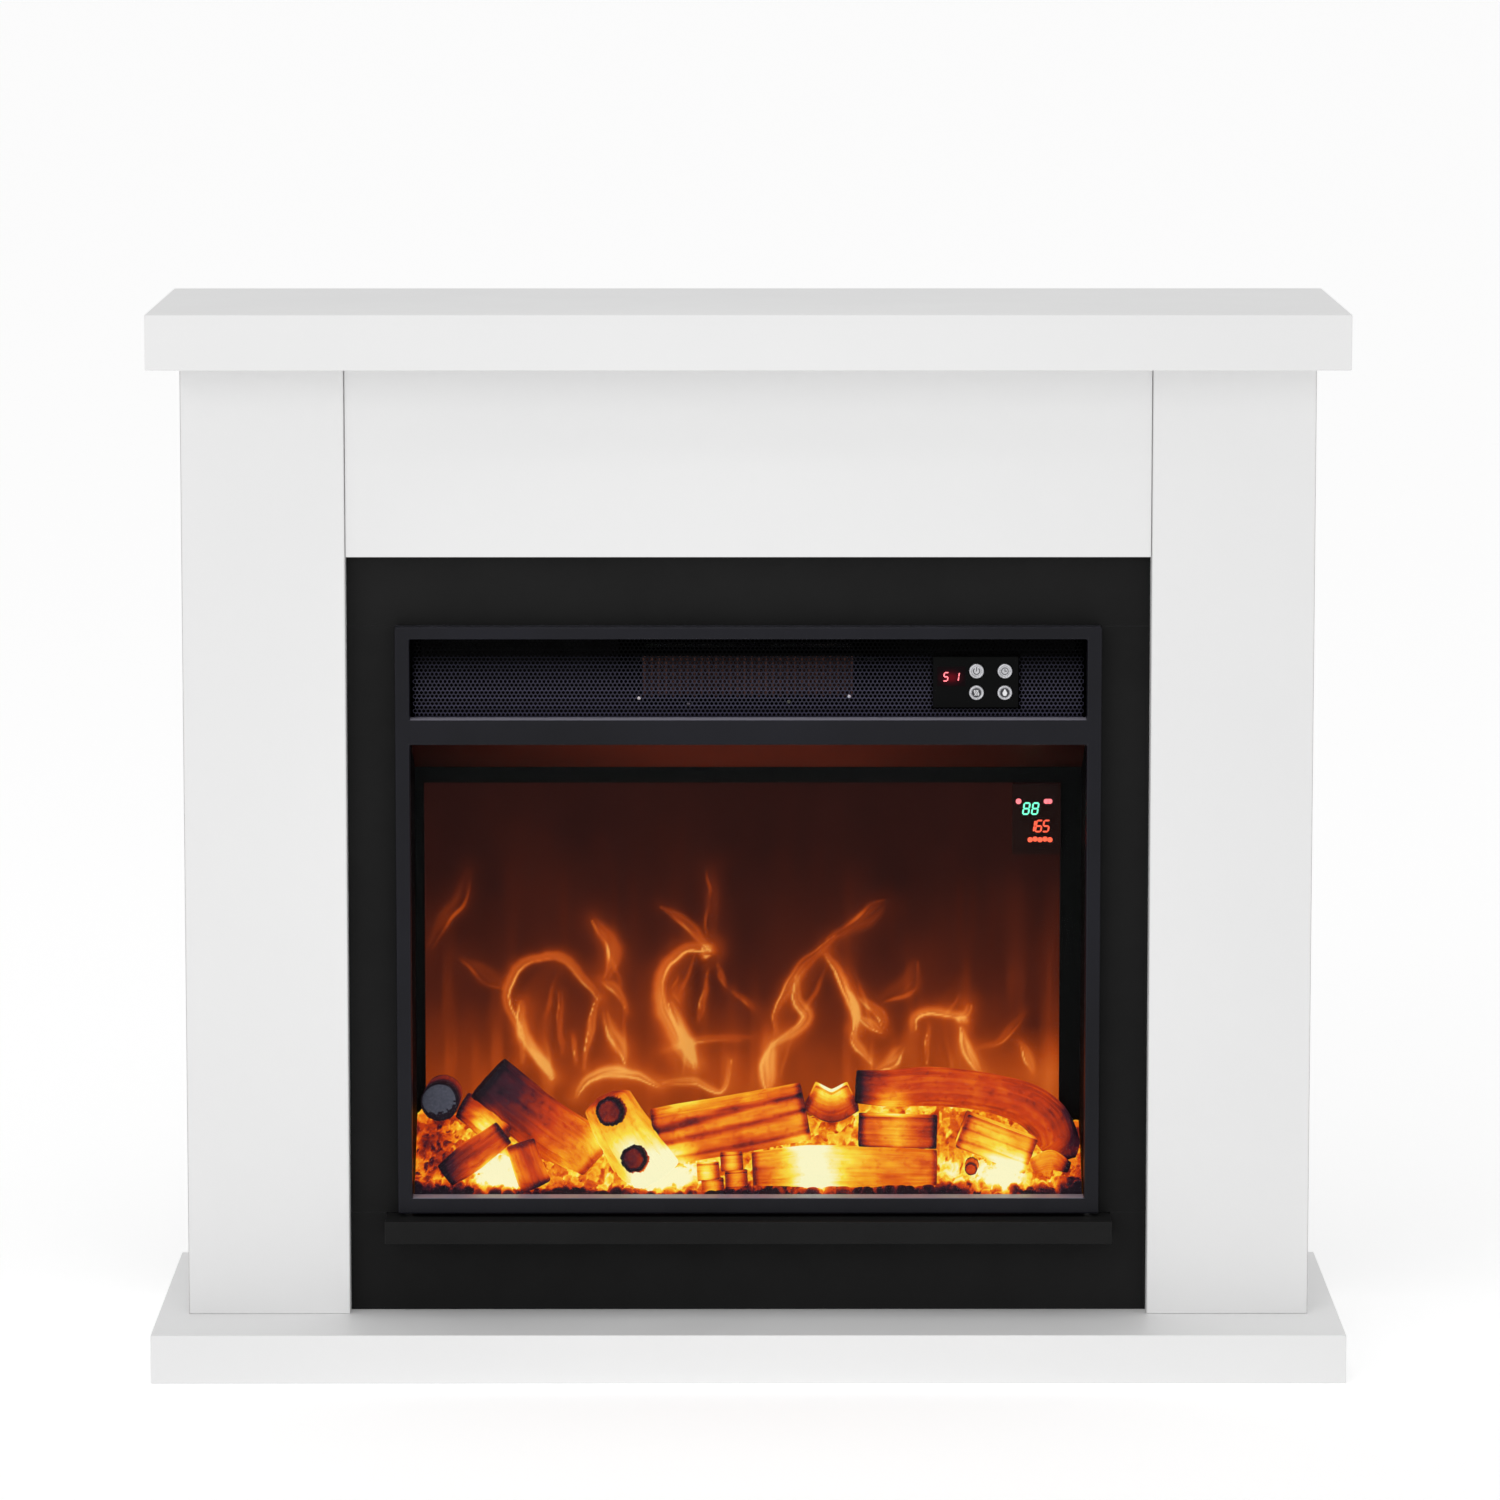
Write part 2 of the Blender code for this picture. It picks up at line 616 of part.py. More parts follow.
# ---- heater and fan ------------------------------------------------------------------------
def build_heater():
    mouth_x, mouth_z, frame_y = 0.095, (0.5600, 0.5980), (-0.0500, -0.0200)
    frame = box("heater_frame", (-mouth_x, mouth_x), frame_y, mouth_z, GALVANISED)
    wall = 0.0015
    through = box(
        "heater_frame_opening",
        (wall - mouth_x, mouth_x - wall),
        (frame_y[0] - 0.01, frame_y[1] + 0.01),
        (mouth_z[0] + wall, mouth_z[1] - wall),
        None,
        CUTTERS,
    )
    cut(frame, through)
    # The element is a comb of fins on two long bars, seen from above.
    fins, pitch, fin = 30, 0.006, 0.0016
    start = -(fins - 1) / 2 * pitch
    front, spine, back = -0.0460, -0.0340, -0.0280
    comb = [(start - fin, back), (start - fin, front)]
    for i in range(fins):
        x = start + i * pitch
        comb += [(x + fin / 2, front), (x + fin / 2, spine)]
        if i < fins - 1:
            comb += [(x + pitch - fin / 2, spine), (x + pitch - fin / 2, front)]
    comb[-1] = (comb[-2][0], back)
    plate("heating_element", "XY", [comb], (mouth_z[0] + wall + GAP, mouth_z[1] - wall - GAP), CERAMIC)


def build_fan():
    """A cross-flow wheel in its scroll, with the motor on the right-hand end of its shaft."""
    centre = (FAN_Y, FAN_Z)
    wheel = cylinder("fan_wheel", FAN_R, (-0.0900, -0.0885), "X", centre, GALVANISED, 32)
    for i, x in enumerate((-0.0007, 0.0885)):
        disc = cylinder(f"fan_disc_{i}", FAN_R, (x, x + 0.0015), "X", centre, None, 32, CUTTERS)
        joined(wheel, disc)
    blades = 16
    for i in range(blades):
        angle = 2 * math.pi * i / blades
        out = Vector((0, math.cos(angle), math.sin(angle))) * (FAN_R - 0.0045)
        blade = box(f"blade_{i}", (-0.0895, 0.0895), (-0.0032, 0.0032), (-0.0005, 0.0005), None, CUTTERS)
        blade.location = Vector((0, FAN_Y, FAN_Z)) + out
        blade.rotation_euler = (angle + math.radians(35), 0, 0)
        joined(wheel, blade)
    shaft = cylinder("fan_shaft", 0.003, (-0.1000, 0.1120), "X", centre, None, 12, CUTTERS)
    joined(wheel, shaft)

    wall, clear = 0.0015, 0.0045
    outside = arc(centre, FAN_R + clear + wall, 60, -90, 15)
    inside = arc(centre, FAN_R + clear, -90, 60, 15)
    floor_z = FAN_Z - FAN_R - clear
    scroll = outside + [(-0.0185, floor_z - wall), (-0.0185, floor_z)] + inside
    housing = as_mesh(plate("fan_housing", "YZ", [scroll], (-0.0990, 0.0990), GALVANISED))
    end_r = FAN_R + clear + wall / 2
    for i, x in enumerate((-0.0988, 0.0973)):
        end = cylinder(f"housing_end_{i}", end_r, (x, x + wall), "X", centre, None, 32, CUTTERS)
        joined(housing, end)
    bore = cylinder("housing_bore", 0.0036, (-0.105, 0.105), "X", centre, None, 24, CUTTERS)
    cut(housing, bore)

    motor_z = (FAN_Z - 0.020, FAN_Z + 0.026)
    motor = box("fan_motor", (0.1125, 0.1290), around(FAN_Y, 0.024), motor_z, MOTOR)
    coil_at = (FAN_Y - 0.004, FAN_Z - 0.026)
    coil = cylinder("fan_motor_coil", 0.0150, (0.1060, 0.1400), "X", coil_at, None, 20, CUTTERS)
    joined(motor, coil)


# ---- controls and wiring -------------------------------------------------------------------
def build_controls():
    panel = soften(box("control_panel", PANEL_X, PANEL_Y, PANEL_Z, PLASTIC), 0.0004, 1)
    board_x, board_z = (0.1600, 0.2240), (0.5600, 0.5960)
    board = box("control_board", board_x, (-0.0600, -0.0584), board_z, CIRCUIT)
    key_half = 0.0025
    buttons = (
        ("button_power", 0, 1),
        ("button_timer", 1, 1),
        ("button_heat", 0, 0),
        ("button_flame", 1, 0),
    )
    for name, column, row in buttons:
        x, z = BUTTON_X[column], BUTTON_Z[row]
        hole_r, hole_y = BUTTON_R + 0.0004, (PANEL_Y[0] - 0.01, PANEL_Y[1] + 0.01)
        cut(panel, cylinder(name + "_hole", hole_r, hole_y, "Y", (x, z), None, 24, CUTTERS))
        soften(cylinder(name, BUTTON_R, BUTTON_Y, "Y", (x, z), CHROME, 24), 0.0004, 1)
        key_y = (-0.0625, -0.0595)
        key = box(name + "_key", around(x, key_half), key_y, around(z, key_half), None, CUTTERS)
        joined(board, key)


def build_power_board():
    board_z = (0.5250, 0.5266)
    board = box("power_board", (0.165, 0.262), (-0.010, 0.090), board_z, CIRCUIT)
    foot = board_z[1] - 0.0006
    lumps = (
        ((0.170, 0.188), (0.060, 0.075), 0.014),
        ((0.195, 0.213), (0.060, 0.075), 0.014),
        ((0.222, 0.255), (0.050, 0.080), 0.022),
        ((0.175, 0.195), (0.010, 0.030), 0.004),
        ((0.215, 0.245), (0.000, 0.012), 0.008),
    )
    for i, (x, y, tall) in enumerate(lumps):
        lump = box(f"board_part_{i}", x, y, (foot, foot + tall), None, CUTTERS)
        joined(board, lump)


def build_switch():
    """The mains switch: a housing through the rear cover and its rocker, at rest with one end in."""
    behind = COVER_Y[1]
    body_x, body_z = around(SWITCH_X, SWITCH_HALF_W), around(SWITCH_Z, SWITCH_HALF_H)
    body = box("switch_housing", body_x, (behind - 0.0163, behind + 0.001), body_z, PLASTIC)
    rim = 0.0023
    rim_x = around(SWITCH_X, SWITCH_HALF_W + rim)
    rim_z = around(SWITCH_Z, SWITCH_HALF_H + rim)
    flange = box("switch_flange", rim_x, (behind + GAP, behind + 0.0022), rim_z, None, CUTTERS)
    pocket_x, pocket_z = around(SWITCH_X, 0.0072), around(SWITCH_Z, 0.0105)
    pocket = box("switch_pocket", pocket_x, (behind - 0.0118, behind + 0.015), pocket_z, None, CUTTERS)
    joined(body, flange)
    cut(body, pocket)
    pivot_y, tilt = behind - 0.0025, math.radians(7)
    half_w, half_h = 0.0069, 0.0096
    face, dip, root, heel = 0.0058, 0.0048, -0.0020, -0.0050
    profile = [
        (face, half_h),
        (dip, 0.0),
        (face, -half_h),
        (root, -half_h),
        (heel, 0.0),
        (root, half_h),
    ]
    rocker = plate("power_rocker", "YZ", [profile], (-half_w, half_w), PLASTIC)
    place = Matrix.Translation((SWITCH_X, pivot_y, SWITCH_Z))
    rocker.matrix_world = place @ Matrix.Rotation(tilt, 4, "X") @ PLANE_TURN["YZ"]


def build_gland():
    """The open cable gland in the rear cover, where the mains cord would leave."""
    centre, behind = (GLAND_X, GLAND_Z), COVER_Y[1]
    gland_y, collar_y = (behind - 0.012, behind + 0.0095), (behind + GAP, behind + 0.0060)
    gland = cylinder("cable_gland", GLAND_R, gland_y, "Y", centre, PLASTIC, 20)
    collar = cylinder("gland_collar", 0.0085, collar_y, "Y", centre, None, 6, CUTTERS)
    bore_y = (gland_y[0] - 0.01, gland_y[1] + 0.01)
    bore = cylinder("gland_bore", GLAND_BORE_R, bore_y, "Y", centre, None, 16, CUTTERS)
    joined(gland, collar)
    cut(gland, bore)


def build_insert():
    build_bezel()
    build_grille()
    build_casing()
    build_rear_cover()
    build_firebox()
    build_stencil()
    build_flame_rod()
    build_flame_drive()
    build_ember_bed()
    build_logs()
    build_heater()
    build_fan()
    build_controls()
    build_power_board()
    build_switch()
    build_gland()


build_mantel()
build_surround()
build_insert()
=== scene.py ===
"""Looks for the electric fireplace: materials, log bed, flame picture, outlet mesh and small fittings.

Metres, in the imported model's frame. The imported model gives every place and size.
"""

import json
import math

import bmesh
import bpy
import numpy as np
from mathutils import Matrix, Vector


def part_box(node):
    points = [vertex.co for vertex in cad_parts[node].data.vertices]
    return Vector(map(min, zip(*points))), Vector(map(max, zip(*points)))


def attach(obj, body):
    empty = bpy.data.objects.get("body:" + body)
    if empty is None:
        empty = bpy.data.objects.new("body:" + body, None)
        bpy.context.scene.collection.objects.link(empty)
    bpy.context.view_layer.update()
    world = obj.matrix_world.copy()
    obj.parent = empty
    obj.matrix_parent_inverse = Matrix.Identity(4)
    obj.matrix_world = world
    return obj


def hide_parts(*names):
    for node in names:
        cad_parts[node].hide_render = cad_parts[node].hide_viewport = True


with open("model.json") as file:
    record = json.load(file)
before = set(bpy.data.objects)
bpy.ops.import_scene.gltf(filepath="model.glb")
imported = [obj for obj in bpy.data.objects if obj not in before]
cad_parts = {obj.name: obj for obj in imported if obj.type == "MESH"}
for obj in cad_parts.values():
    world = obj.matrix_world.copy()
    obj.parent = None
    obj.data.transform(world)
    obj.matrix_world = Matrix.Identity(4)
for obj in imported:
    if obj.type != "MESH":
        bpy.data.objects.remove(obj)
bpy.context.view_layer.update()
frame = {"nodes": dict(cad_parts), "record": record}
ROOT = "fireplace"
MM = 0.001

# The camera, fitted to a straight-on view from above the shelf's height.
CAMERA_PLACE = (-0.0071, -5.7657, 1.3163)
CAMERA_TILT, CAMERA_ROLL = 7.21, -0.0015
LENS, SHIFT = 164.8, -0.06
FAR = 900.0
FLOOR_HALF = 200
SKY, FLOOR_GLOW = 0.77, 0.25
# The gap that keeps a thin piece off its face, and how deep lit figures and button symbols are.
HAIR = 0.0001
GLYPH_DEPTH, SYMBOL_DEPTH = 0.0004, 0.00025


# ---- camera, floor and light ---------------------------------------------------------------
def add_camera():
    data = bpy.data.cameras.new("camera")
    data.lens = LENS
    data.sensor_width = 36.0
    data.shift_y = SHIFT
    data.clip_end = FAR
    camera = bpy.data.objects.new("camera", data)
    camera.location = CAMERA_PLACE
    camera.rotation_euler = (math.radians(90 - CAMERA_TILT), 0.0, CAMERA_ROLL)
    bpy.context.scene.collection.objects.link(camera)
    bpy.context.scene.camera = camera


def add_lamp(data, place, target, watts):
    data.energy = watts
    lamp = bpy.data.objects.new(data.name, data)
    lamp.location = place
    lamp.rotation_euler = (Vector(target) - Vector(place)).to_track_quat("-Z", "Y").to_euler()
    bpy.context.scene.collection.objects.link(lamp)


def add_area(name, place, target, size, watts):
    data = bpy.data.lights.new(name, "AREA")
    data.shape = "RECTANGLE"
    data.size, data.size_y = size
    add_lamp(data, place, target, watts)


def add_spot(name, place, target, degrees, watts):
    data = bpy.data.lights.new(name, "SPOT")
    data.spot_size = math.radians(degrees)
    data.spot_blend = 1.0
    data.shadow_soft_size = 0.25
    add_lamp(data, place, target, watts)


def add_world():
    """An even sky that lights the piece, and a white one behind it."""
    world = bpy.data.worlds.new("studio")
    world.use_nodes = True
    tree = world.node_tree
    sky = tree.nodes["Background"]
    sky.inputs["Color"].default_value = (1, 1, 1, 1)
    sky.inputs["Strength"].default_value = SKY
    backdrop = tree.nodes.new("ShaderNodeBackground")
    backdrop.inputs["Color"].default_value = (1, 1, 1, 1)
    seen = tree.nodes.new("ShaderNodeLightPath")
    either = tree.nodes.new("ShaderNodeMixShader")
    tree.links.new(seen.outputs["Is Camera Ray"], either.inputs[0])
    tree.links.new(sky.outputs[0], either.inputs[1])
    tree.links.new(backdrop.outputs[0], either.inputs[2])
    tree.links.new(either.outputs[0], tree.nodes["World Output"].inputs["Surface"])
    bpy.context.scene.world = world


def add_studio():
    add_world()
    add_area("key", (-2.4, -4.4, 2.5), (0, 0, 0.4), (2.6, 2.2), 34)
    add_area("top", (0.2, -0.8, 3.4), (0, 0, 0.4), (3.0, 2.0), 4)
    add_spot("plinth_fill", (0, -1.2, 2.0), (0, -0.13, 0.05), 30, 26)
    mesh = bpy.data.meshes.new("floor")
    shape = bmesh.new()
    bmesh.ops.create_grid(shape, x_segments=1, y_segments=1, size=FLOOR_HALF)
    shape.to_mesh(mesh)
    shape.free()
    floor = bpy.data.objects.new("floor", mesh)
    bpy.context.scene.collection.objects.link(floor)
    paint = bpy.data.materials.new("studio_floor")
    paint.use_nodes = True
    shader = paint.node_tree.nodes["Principled BSDF"]
    shader.inputs["Base Color"].default_value = (0.93, 0.93, 0.93, 1)
    shader.inputs["Roughness"].default_value = 0.9
    shader.inputs["Emission Color"].default_value = (1, 1, 1, 1)
    shader.inputs["Emission Strength"].default_value = FLOOR_GLOW
    mesh.materials.append(paint)
    settings = bpy.context.scene.view_settings
    settings.view_transform = "Standard"
    settings.look = "None"


# ---- building materials --------------------------------------------------------------------
def linear(r, g, b):
    """The linear colour of an 8-bit sRGB one."""
    found = []
    for value in (r / 255, g / 255, b / 255):
        found.append(value / 12.92 if value <= 0.04045 else ((value + 0.055) / 1.055) ** 2.4)
    return (*found, 1.0)


class Finish:
    """A procedural material under construction."""

    def __init__(self, name):
        self.material = bpy.data.materials.new(name + "_look")
        self.material.use_nodes = True
        self.tree = self.material.node_tree
        self.shader = self.tree.nodes["Principled BSDF"]

    def add(self, kind, inputs=(), **settings):
        made = self.tree.nodes.new("ShaderNode" + kind)
        for key, value in settings.items():
            setattr(made, key, value)
        for key, value in dict(inputs).items():
            self.put(made.inputs[key], value)
        return made

    def put(self, socket, value):
        if isinstance(value, bpy.types.NodeSocket):
            self.tree.links.new(value, socket)
        else:
            socket.default_value = value

    def set(self, **inputs):
        """Sets the shader's inputs; an underscore in a name stands for a space."""
        for key, value in inputs.items():
            self.put(self.shader.inputs[key.replace("_", " ")], value)
        return self

    def place(self, stretch=(1, 1, 1)):
        where = self.add("TexCoord").outputs["Object"]
        return self.add("Mapping", {"Vector": where, "Scale": stretch}).outputs[0]

    def noise(self, scale, detail=3.0, stretch=(1, 1, 1), at=None, distortion=0.0):
        where = at if at is not None else self.place(stretch)
        inputs = {"Vector": where, "Scale": scale, "Detail": detail, "Distortion": distortion}
        return self.add("TexNoise", inputs).outputs["Fac"]

    def waves(self, scale, direction):
        inputs = {"Vector": self.place(), "Scale": scale}
        return self.add("TexWave", inputs, bands_direction=direction).outputs["Fac"]

    def cells(self, scale, feature="F1"):
        inputs = {"Vector": self.place(), "Scale": scale}
        return self.add("TexVoronoi", inputs, feature=feature).outputs["Distance"]

    def ramp(self, value, *stops):
        """Colours or grey levels along value: each stop is (position, colour or level)."""
        made = self.add("ValToRGB", {"Fac": value})
        band = made.color_ramp
        while len(band.elements) < len(stops):
            band.elements.new(0.5)
        for element, (position, colour) in zip(band.elements, stops):
            element.position = position
            element.color = colour if isinstance(colour, tuple) else (colour, colour, colour, 1)
        return made.outputs["Color"]

    def vary(self, scale, detail, low, high):
        """Drifts between two colours or two levels with soft noise."""
        return self.ramp(self.noise(scale, detail), (0.3, low), (0.7, high))

    def maths(self, operation, *values):
        made = self.add("Math", operation=operation)
        for socket, value in zip(made.inputs, values):
            self.put(socket, value)
        return made.outputs[0]

    def blend(self, share, a, b, mode="MIX"):
        made = self.add("Mix", data_type="RGBA", blend_type=mode)
        for index, value in ((0, share), (6, a), (7, b)):
            self.put(made.inputs[index], value)
        return made.outputs[2]

    def edges(self, width):
        """1 on sharp edges and 0 on flats."""
        soft = self.add("Bevel", {"Radius": width}, samples=4).outputs[0]
        true = self.add("NewGeometry").outputs["Normal"]
        facing = self.add("VectorMath", {0: soft, 1: true}, operation="DOT_PRODUCT").outputs["Value"]
        return self.ramp(facing, (0.80, 1.0), (0.98, 0.0))

    def height(self, low, high):
        """0 at the low height, in metres, and 1 at the high one."""
        where = self.add("TexCoord").outputs["Object"]
        z = self.add("SeparateXYZ", {"Vector": where}).outputs["Z"]
        return self.add("MapRange", {"Value": z, "From Min": low, "From Max": high}).outputs[0]

    def upward(self):
        """1 where the surface faces up."""
        normal = self.add("NewGeometry").outputs["Normal"]
        return self.ramp(self.add("SeparateXYZ", {"Vector": normal}).outputs["Z"], (0.85, 0.0), (0.95, 1.0))

    def bump(self, height, depth, strength=1.0):
        inputs = {"Height": height, "Distance": depth, "Strength": strength}
        return self.set(Normal=self.add("Bump", inputs).outputs[0])

    def grained(self, scale, detail, depth, strength):
        """Ends a finish with a fine noisy relief and returns its material."""
        return self.bump(self.noise(scale, detail), depth, strength).material


def white_lacquer():
    finish = Finish("white_lacquer")
    body = finish.vary(3, 4, (0.795, 0.795, 0.796, 1), (0.815, 0.815, 0.814, 1))
    worn = finish.blend(finish.edges(0.0012), body, (0.72, 0.72, 0.715, 1))
    finish.set(Base_Color=worn, Roughness=finish.vary(14, 3, 0.40, 0.52))
    return finish.grained(420, 2, 0.00012, 0.35)


def raw_batten():
    finish = Finish("raw_batten")
    grain = finish.noise(60, 5, (0.06, 1, 1), distortion=0.4)
    pale, mid, dark = linear(196, 164, 118), linear(170, 134, 90), linear(150, 118, 80)
    wood = finish.ramp(grain, (0.3, dark), (0.55, pale), (0.7, mid))
    finish.set(Base_Color=wood, Roughness=0.75)
    return finish.bump(grain, 0.0003, 0.5).material


def black_board():
    finish = Finish("black_board")
    body = finish.vary(5, 4, linear(25, 25, 25), linear(30, 30, 30))
    worn = finish.blend(finish.edges(0.0008), body, linear(50, 50, 50))
    finish.set(Base_Color=worn, Roughness=finish.vary(30, 3, 0.55, 0.68))
    finish.set(Specular_IOR_Level=0.08)
    return finish.bump(finish.noise(700, 3, (0.5, 0.5, 1)), 0.00008, 0.5).material


def bezel_paint():
    finish = Finish("bezel_paint")
    body = finish.vary(9, 3, linear(17, 17, 22), linear(23, 23, 30))
    worn = finish.blend(finish.edges(0.0008), body, linear(52, 52, 60))
    # Painted highlight: up-facing faces are lighter, as if lit from above, brightest on the sills low in the
    # bezel and dimmer near its top.
    painted_sill_highlight = finish.ramp(finish.height(0.55, 0.62), (0.0, linear(150, 147, 160)), (1.0, linear(48, 48, 54)))
    finish.set(Base_Color=finish.blend(finish.upward(), worn, painted_sill_highlight))
    finish.set(Roughness=finish.vary(40, 2, 0.30, 0.42), Specular_IOR_Level=0.16)
    return finish.grained(1600, 2, 0.00005, 0.5)


def black_steel():
    finish = Finish("black_steel")
    body = finish.vary(12, 4, linear(13, 13, 15), linear(21, 21, 24))
    worn = finish.blend(finish.edges(0.0006), body, linear(64, 64, 68))
    finish.set(Base_Color=worn, Roughness=finish.vary(50, 3, 0.42, 0.6))
    finish.set(Specular_IOR_Level=0.2)
    return finish.bump(finish.cells(900), 0.00008, 0.5).material


def matt_black(name="matt_black", dark=(8, 9, 8), light=(13, 13, 14)):
    finish = Finish(name)
    body = finish.vary(12, 4, linear(*dark), linear(*light))
    finish.set(Base_Color=body, Roughness=0.7, Specular_IOR_Level=0.05)
    return finish.grained(600, 2, 0.00008, 0.5)


def painted_fire_glow():
    """The firebox ceiling: its red-brown colour is a painted glow of the fire, bright enough to take up the
    fire's light, with painted shade towards the sides.
    """
    finish = Finish("painted_fire_glow")
    # Painted glow: a red-brown tone where the black ceiling would be lit by the fire.
    body = finish.ramp(finish.noise(8, 4, (0.5, 1, 1)), (0.3, linear(84, 30, 18)), (0.7, linear(104, 40, 24)))
    # Painted shade: the glow fades away from the middle towards the sides.
    aside = finish.add("VectorMath", {0: finish.place((3.6, 0, 0))}, operation="LENGTH").outputs["Value"]
    painted_shade = finish.ramp(aside, (0.25, 1.0), (0.60, 0.55), (0.95, 0.22))
    finish.set(Base_Color=finish.blend(1.0, body, painted_shade, "MULTIPLY"), Roughness=0.5, Specular_IOR_Level=0.15)
    return finish.grained(300, 3, 0.0001, 0.4)


def outlet_paint():
    """The outlet mesh: a blue-black paint, browner and darker towards its top, where the bezel's shadow is
    painted.
    """
    finish = Finish("outlet_paint")
    # Painted shadow of the bezel: 0 low on the mesh and 1 at its top, where the paint turns near black.
    painted_shade = finish.height(0.572, 0.600)
    body = finish.ramp(painted_shade, (0.0, linear(46, 44, 62)), (0.5, linear(32, 31, 44)), (1.0, linear(5, 5, 6)))
    mottle = finish.ramp(finish.waves(46, "Z"), (0.60, 0.72), (0.95, 1.35))
    finish.set(Base_Color=finish.blend(1.0, body, mottle, "MULTIPLY"), Roughness=0.5)
    # The sheen fades in the painted shadow too.
    finish.set(Specular_IOR_Level=finish.ramp(painted_shade, (0.0, 0.25), (1.0, 0.02)))
    return finish.grained(900, 2, 0.00006, 0.5)


def galvanised(name="galvanised_steel", shade=1.0):
    finish = Finish(name)
    spangle = finish.add("TexVoronoi", {"Vector": finish.place(), "Scale": 90}).outputs["Color"]
    body = finish.blend(0.12, (0.50 * shade, 0.51 * shade, 0.53 * shade, 1), spangle, "OVERLAY")
    finish.set(Base_Color=body, Metallic=1.0, Roughness=finish.vary(60, 3, 0.3, 0.5))
    return finish.grained(260, 3, 0.0001, 0.4)


def clear_glass():
    finish = Finish("clear_glass")
    smear = finish.noise(7, 4, (1, 1, 0.4))
    finish.set(Base_Color=(0.02, 0.024, 0.024, 1), Alpha=0.05, Specular_IOR_Level=0.02)
    finish.set(Roughness=finish.ramp(smear, (0.35, 0.04), (0.7, 0.13)))
    return finish.grained(3, 1, 0.0003, 0.1)


def polished():
    finish = Finish("polished_aluminium")
    drawn = finish.noise(240, 3, (0.03, 1, 1))
    body = finish.ramp(drawn, (0.3, (0.74, 0.74, 0.75, 1)), (0.7, (0.88, 0.88, 0.89, 1)))
    finish.set(Base_Color=body, Metallic=1.0, Roughness=finish.ramp(drawn, (0.3, 0.10), (0.7, 0.24)))
    return finish.bump(drawn, 0.00005, 0.4).material


def black_plastic():
    finish = Finish("black_plastic")
    body = finish.vary(25, 3, linear(7, 7, 10), linear(13, 12, 17))
    worn = finish.blend(finish.edges(0.0004), body, linear(32, 31, 37))
    finish.set(Base_Color=worn, Roughness=0.42, Specular_IOR_Level=0.10)
    return finish.grained(1500, 2, 0.00006, 0.5)


def button_chrome():
    finish = Finish("button_chrome")
    turned = finish.noise(700, 2)
    body = finish.ramp(turned, (0.3, linear(176, 176, 180)), (0.7, linear(214, 214, 218)))
    finish.set(Base_Color=body, Metallic=0.75, Roughness=finish.ramp(turned, (0.3, 0.26), (0.7, 0.4)))
    return finish.bump(turned, 0.00003, 0.4).material


def circuit_board():
    finish = Finish("circuit_board")
    tracks = finish.ramp(finish.cells(160, "DISTANCE_TO_EDGE"), (0.05, 1.0), (0.09, 0.0))
    body = finish.blend(tracks, linear(16, 74, 40), linear(44, 120, 70))
    finish.set(Base_Color=body, Roughness=0.4)
    return finish.bump(tracks, 0.00006, 0.6).material


def heater_fins():
    finish = Finish("heater_fins")
    body = finish.vary(22, 3, linear(66, 34, 28), linear(98, 62, 52))
    finish.set(Base_Color=body, Metallic=0.6, Roughness=0.5)
    return finish.grained(500, 2, 0.0001, 0.4)


def motor_steel():
    finish = Finish("motor_steel")
    layers = finish.waves(260, "X")
    body = finish.ramp(layers, (0.2, (0.30, 0.30, 0.32, 1)), (0.8, (0.46, 0.47, 0.49, 1)))
    finish.set(Base_Color=body, Metallic=0.9, Roughness=0.42)
    return finish.bump(layers, 0.0002, 0.5).material


# Colours that the log bed takes from cold ash to white heat.
FIRE = (
    (0.00, linear(18, 11, 18)),
    (0.14, linear(58, 22, 34)),
    (0.26, linear(124, 34, 24)),
    (0.40, linear(204, 62, 18)),
    (0.53, linear(236, 110, 20)),
    (0.66, linear(252, 172, 34)),
    (0.80, linear(255, 230, 70)),
    (1.00, linear(255, 254, 205)),
)
COLD = (
    (0.0, linear(26, 18, 26)),
    (0.4, linear(44, 12, 8)),
    (1.0, linear(70, 30, 10)),
)


def glowing(name, stretch, grain_share, speck_share, depth):
    """Painted resin lit from within: the warmth attribute, broken up by grain, sets how it glows."""
    finish = Finish(name)
    warmth = finish.add("Attribute", attribute_name="warmth").outputs["Fac"]
    along = finish.add("Attribute", attribute_name="grain").outputs["Vector"]
    at = finish.add("Mapping", {"Vector": along, "Scale": stretch}).outputs[0]
    grain = finish.ramp(finish.noise(1.0, 6, at=at, distortion=0.5), (0.34, 0.0), (0.48, 0.62), (0.66, 1.0))
    speck = finish.ramp(finish.noise(200, 4), (0.34, 0.0), (0.44, 1.0))
    blotch = finish.noise(60, 3)
    level = finish.maths("MULTIPLY_ADD", finish.maths("SUBTRACT", grain, 0.55), grain_share, warmth)
    level = finish.maths("MULTIPLY_ADD", finish.maths("SUBTRACT", speck, 0.8), speck_share, level)
    level = finish.maths("MULTIPLY_ADD", finish.maths("SUBTRACT", blotch, 0.5), 0.24, level)
    finish.set(Base_Color=finish.ramp(level, *COLD), Roughness=0.8, Specular_IOR_Level=0.15)
    finish.set(Emission_Color=finish.ramp(level, *FIRE), Emission_Strength=1.0)
    relief = finish.maths("ADD", grain, speck)
    return finish.bump(relief, depth, 0.9).material


def flame_picture():
    """The lit screen: its colour is held on the mesh, and fine vertical wisps break it up."""
    finish = Finish("flame_screen")
    colour = finish.add("Attribute", attribute_name="glow").outputs["Color"]
    wisps = finish.ramp(finish.noise(42, 4, (1, 1, 0.35)), (0.3, 0.88), (0.7, 1.06))
    finish.set(Base_Color=(0.004, 0.002, 0.002, 1), Roughness=0.6, Specular_IOR_Level=0.0)
    finish.set(Emission_Color=finish.blend(1.0, colour, wisps, "MULTIPLY"), Emission_Strength=1.0)
    return finish.grained(300, 2, 0.00005, 0.2)


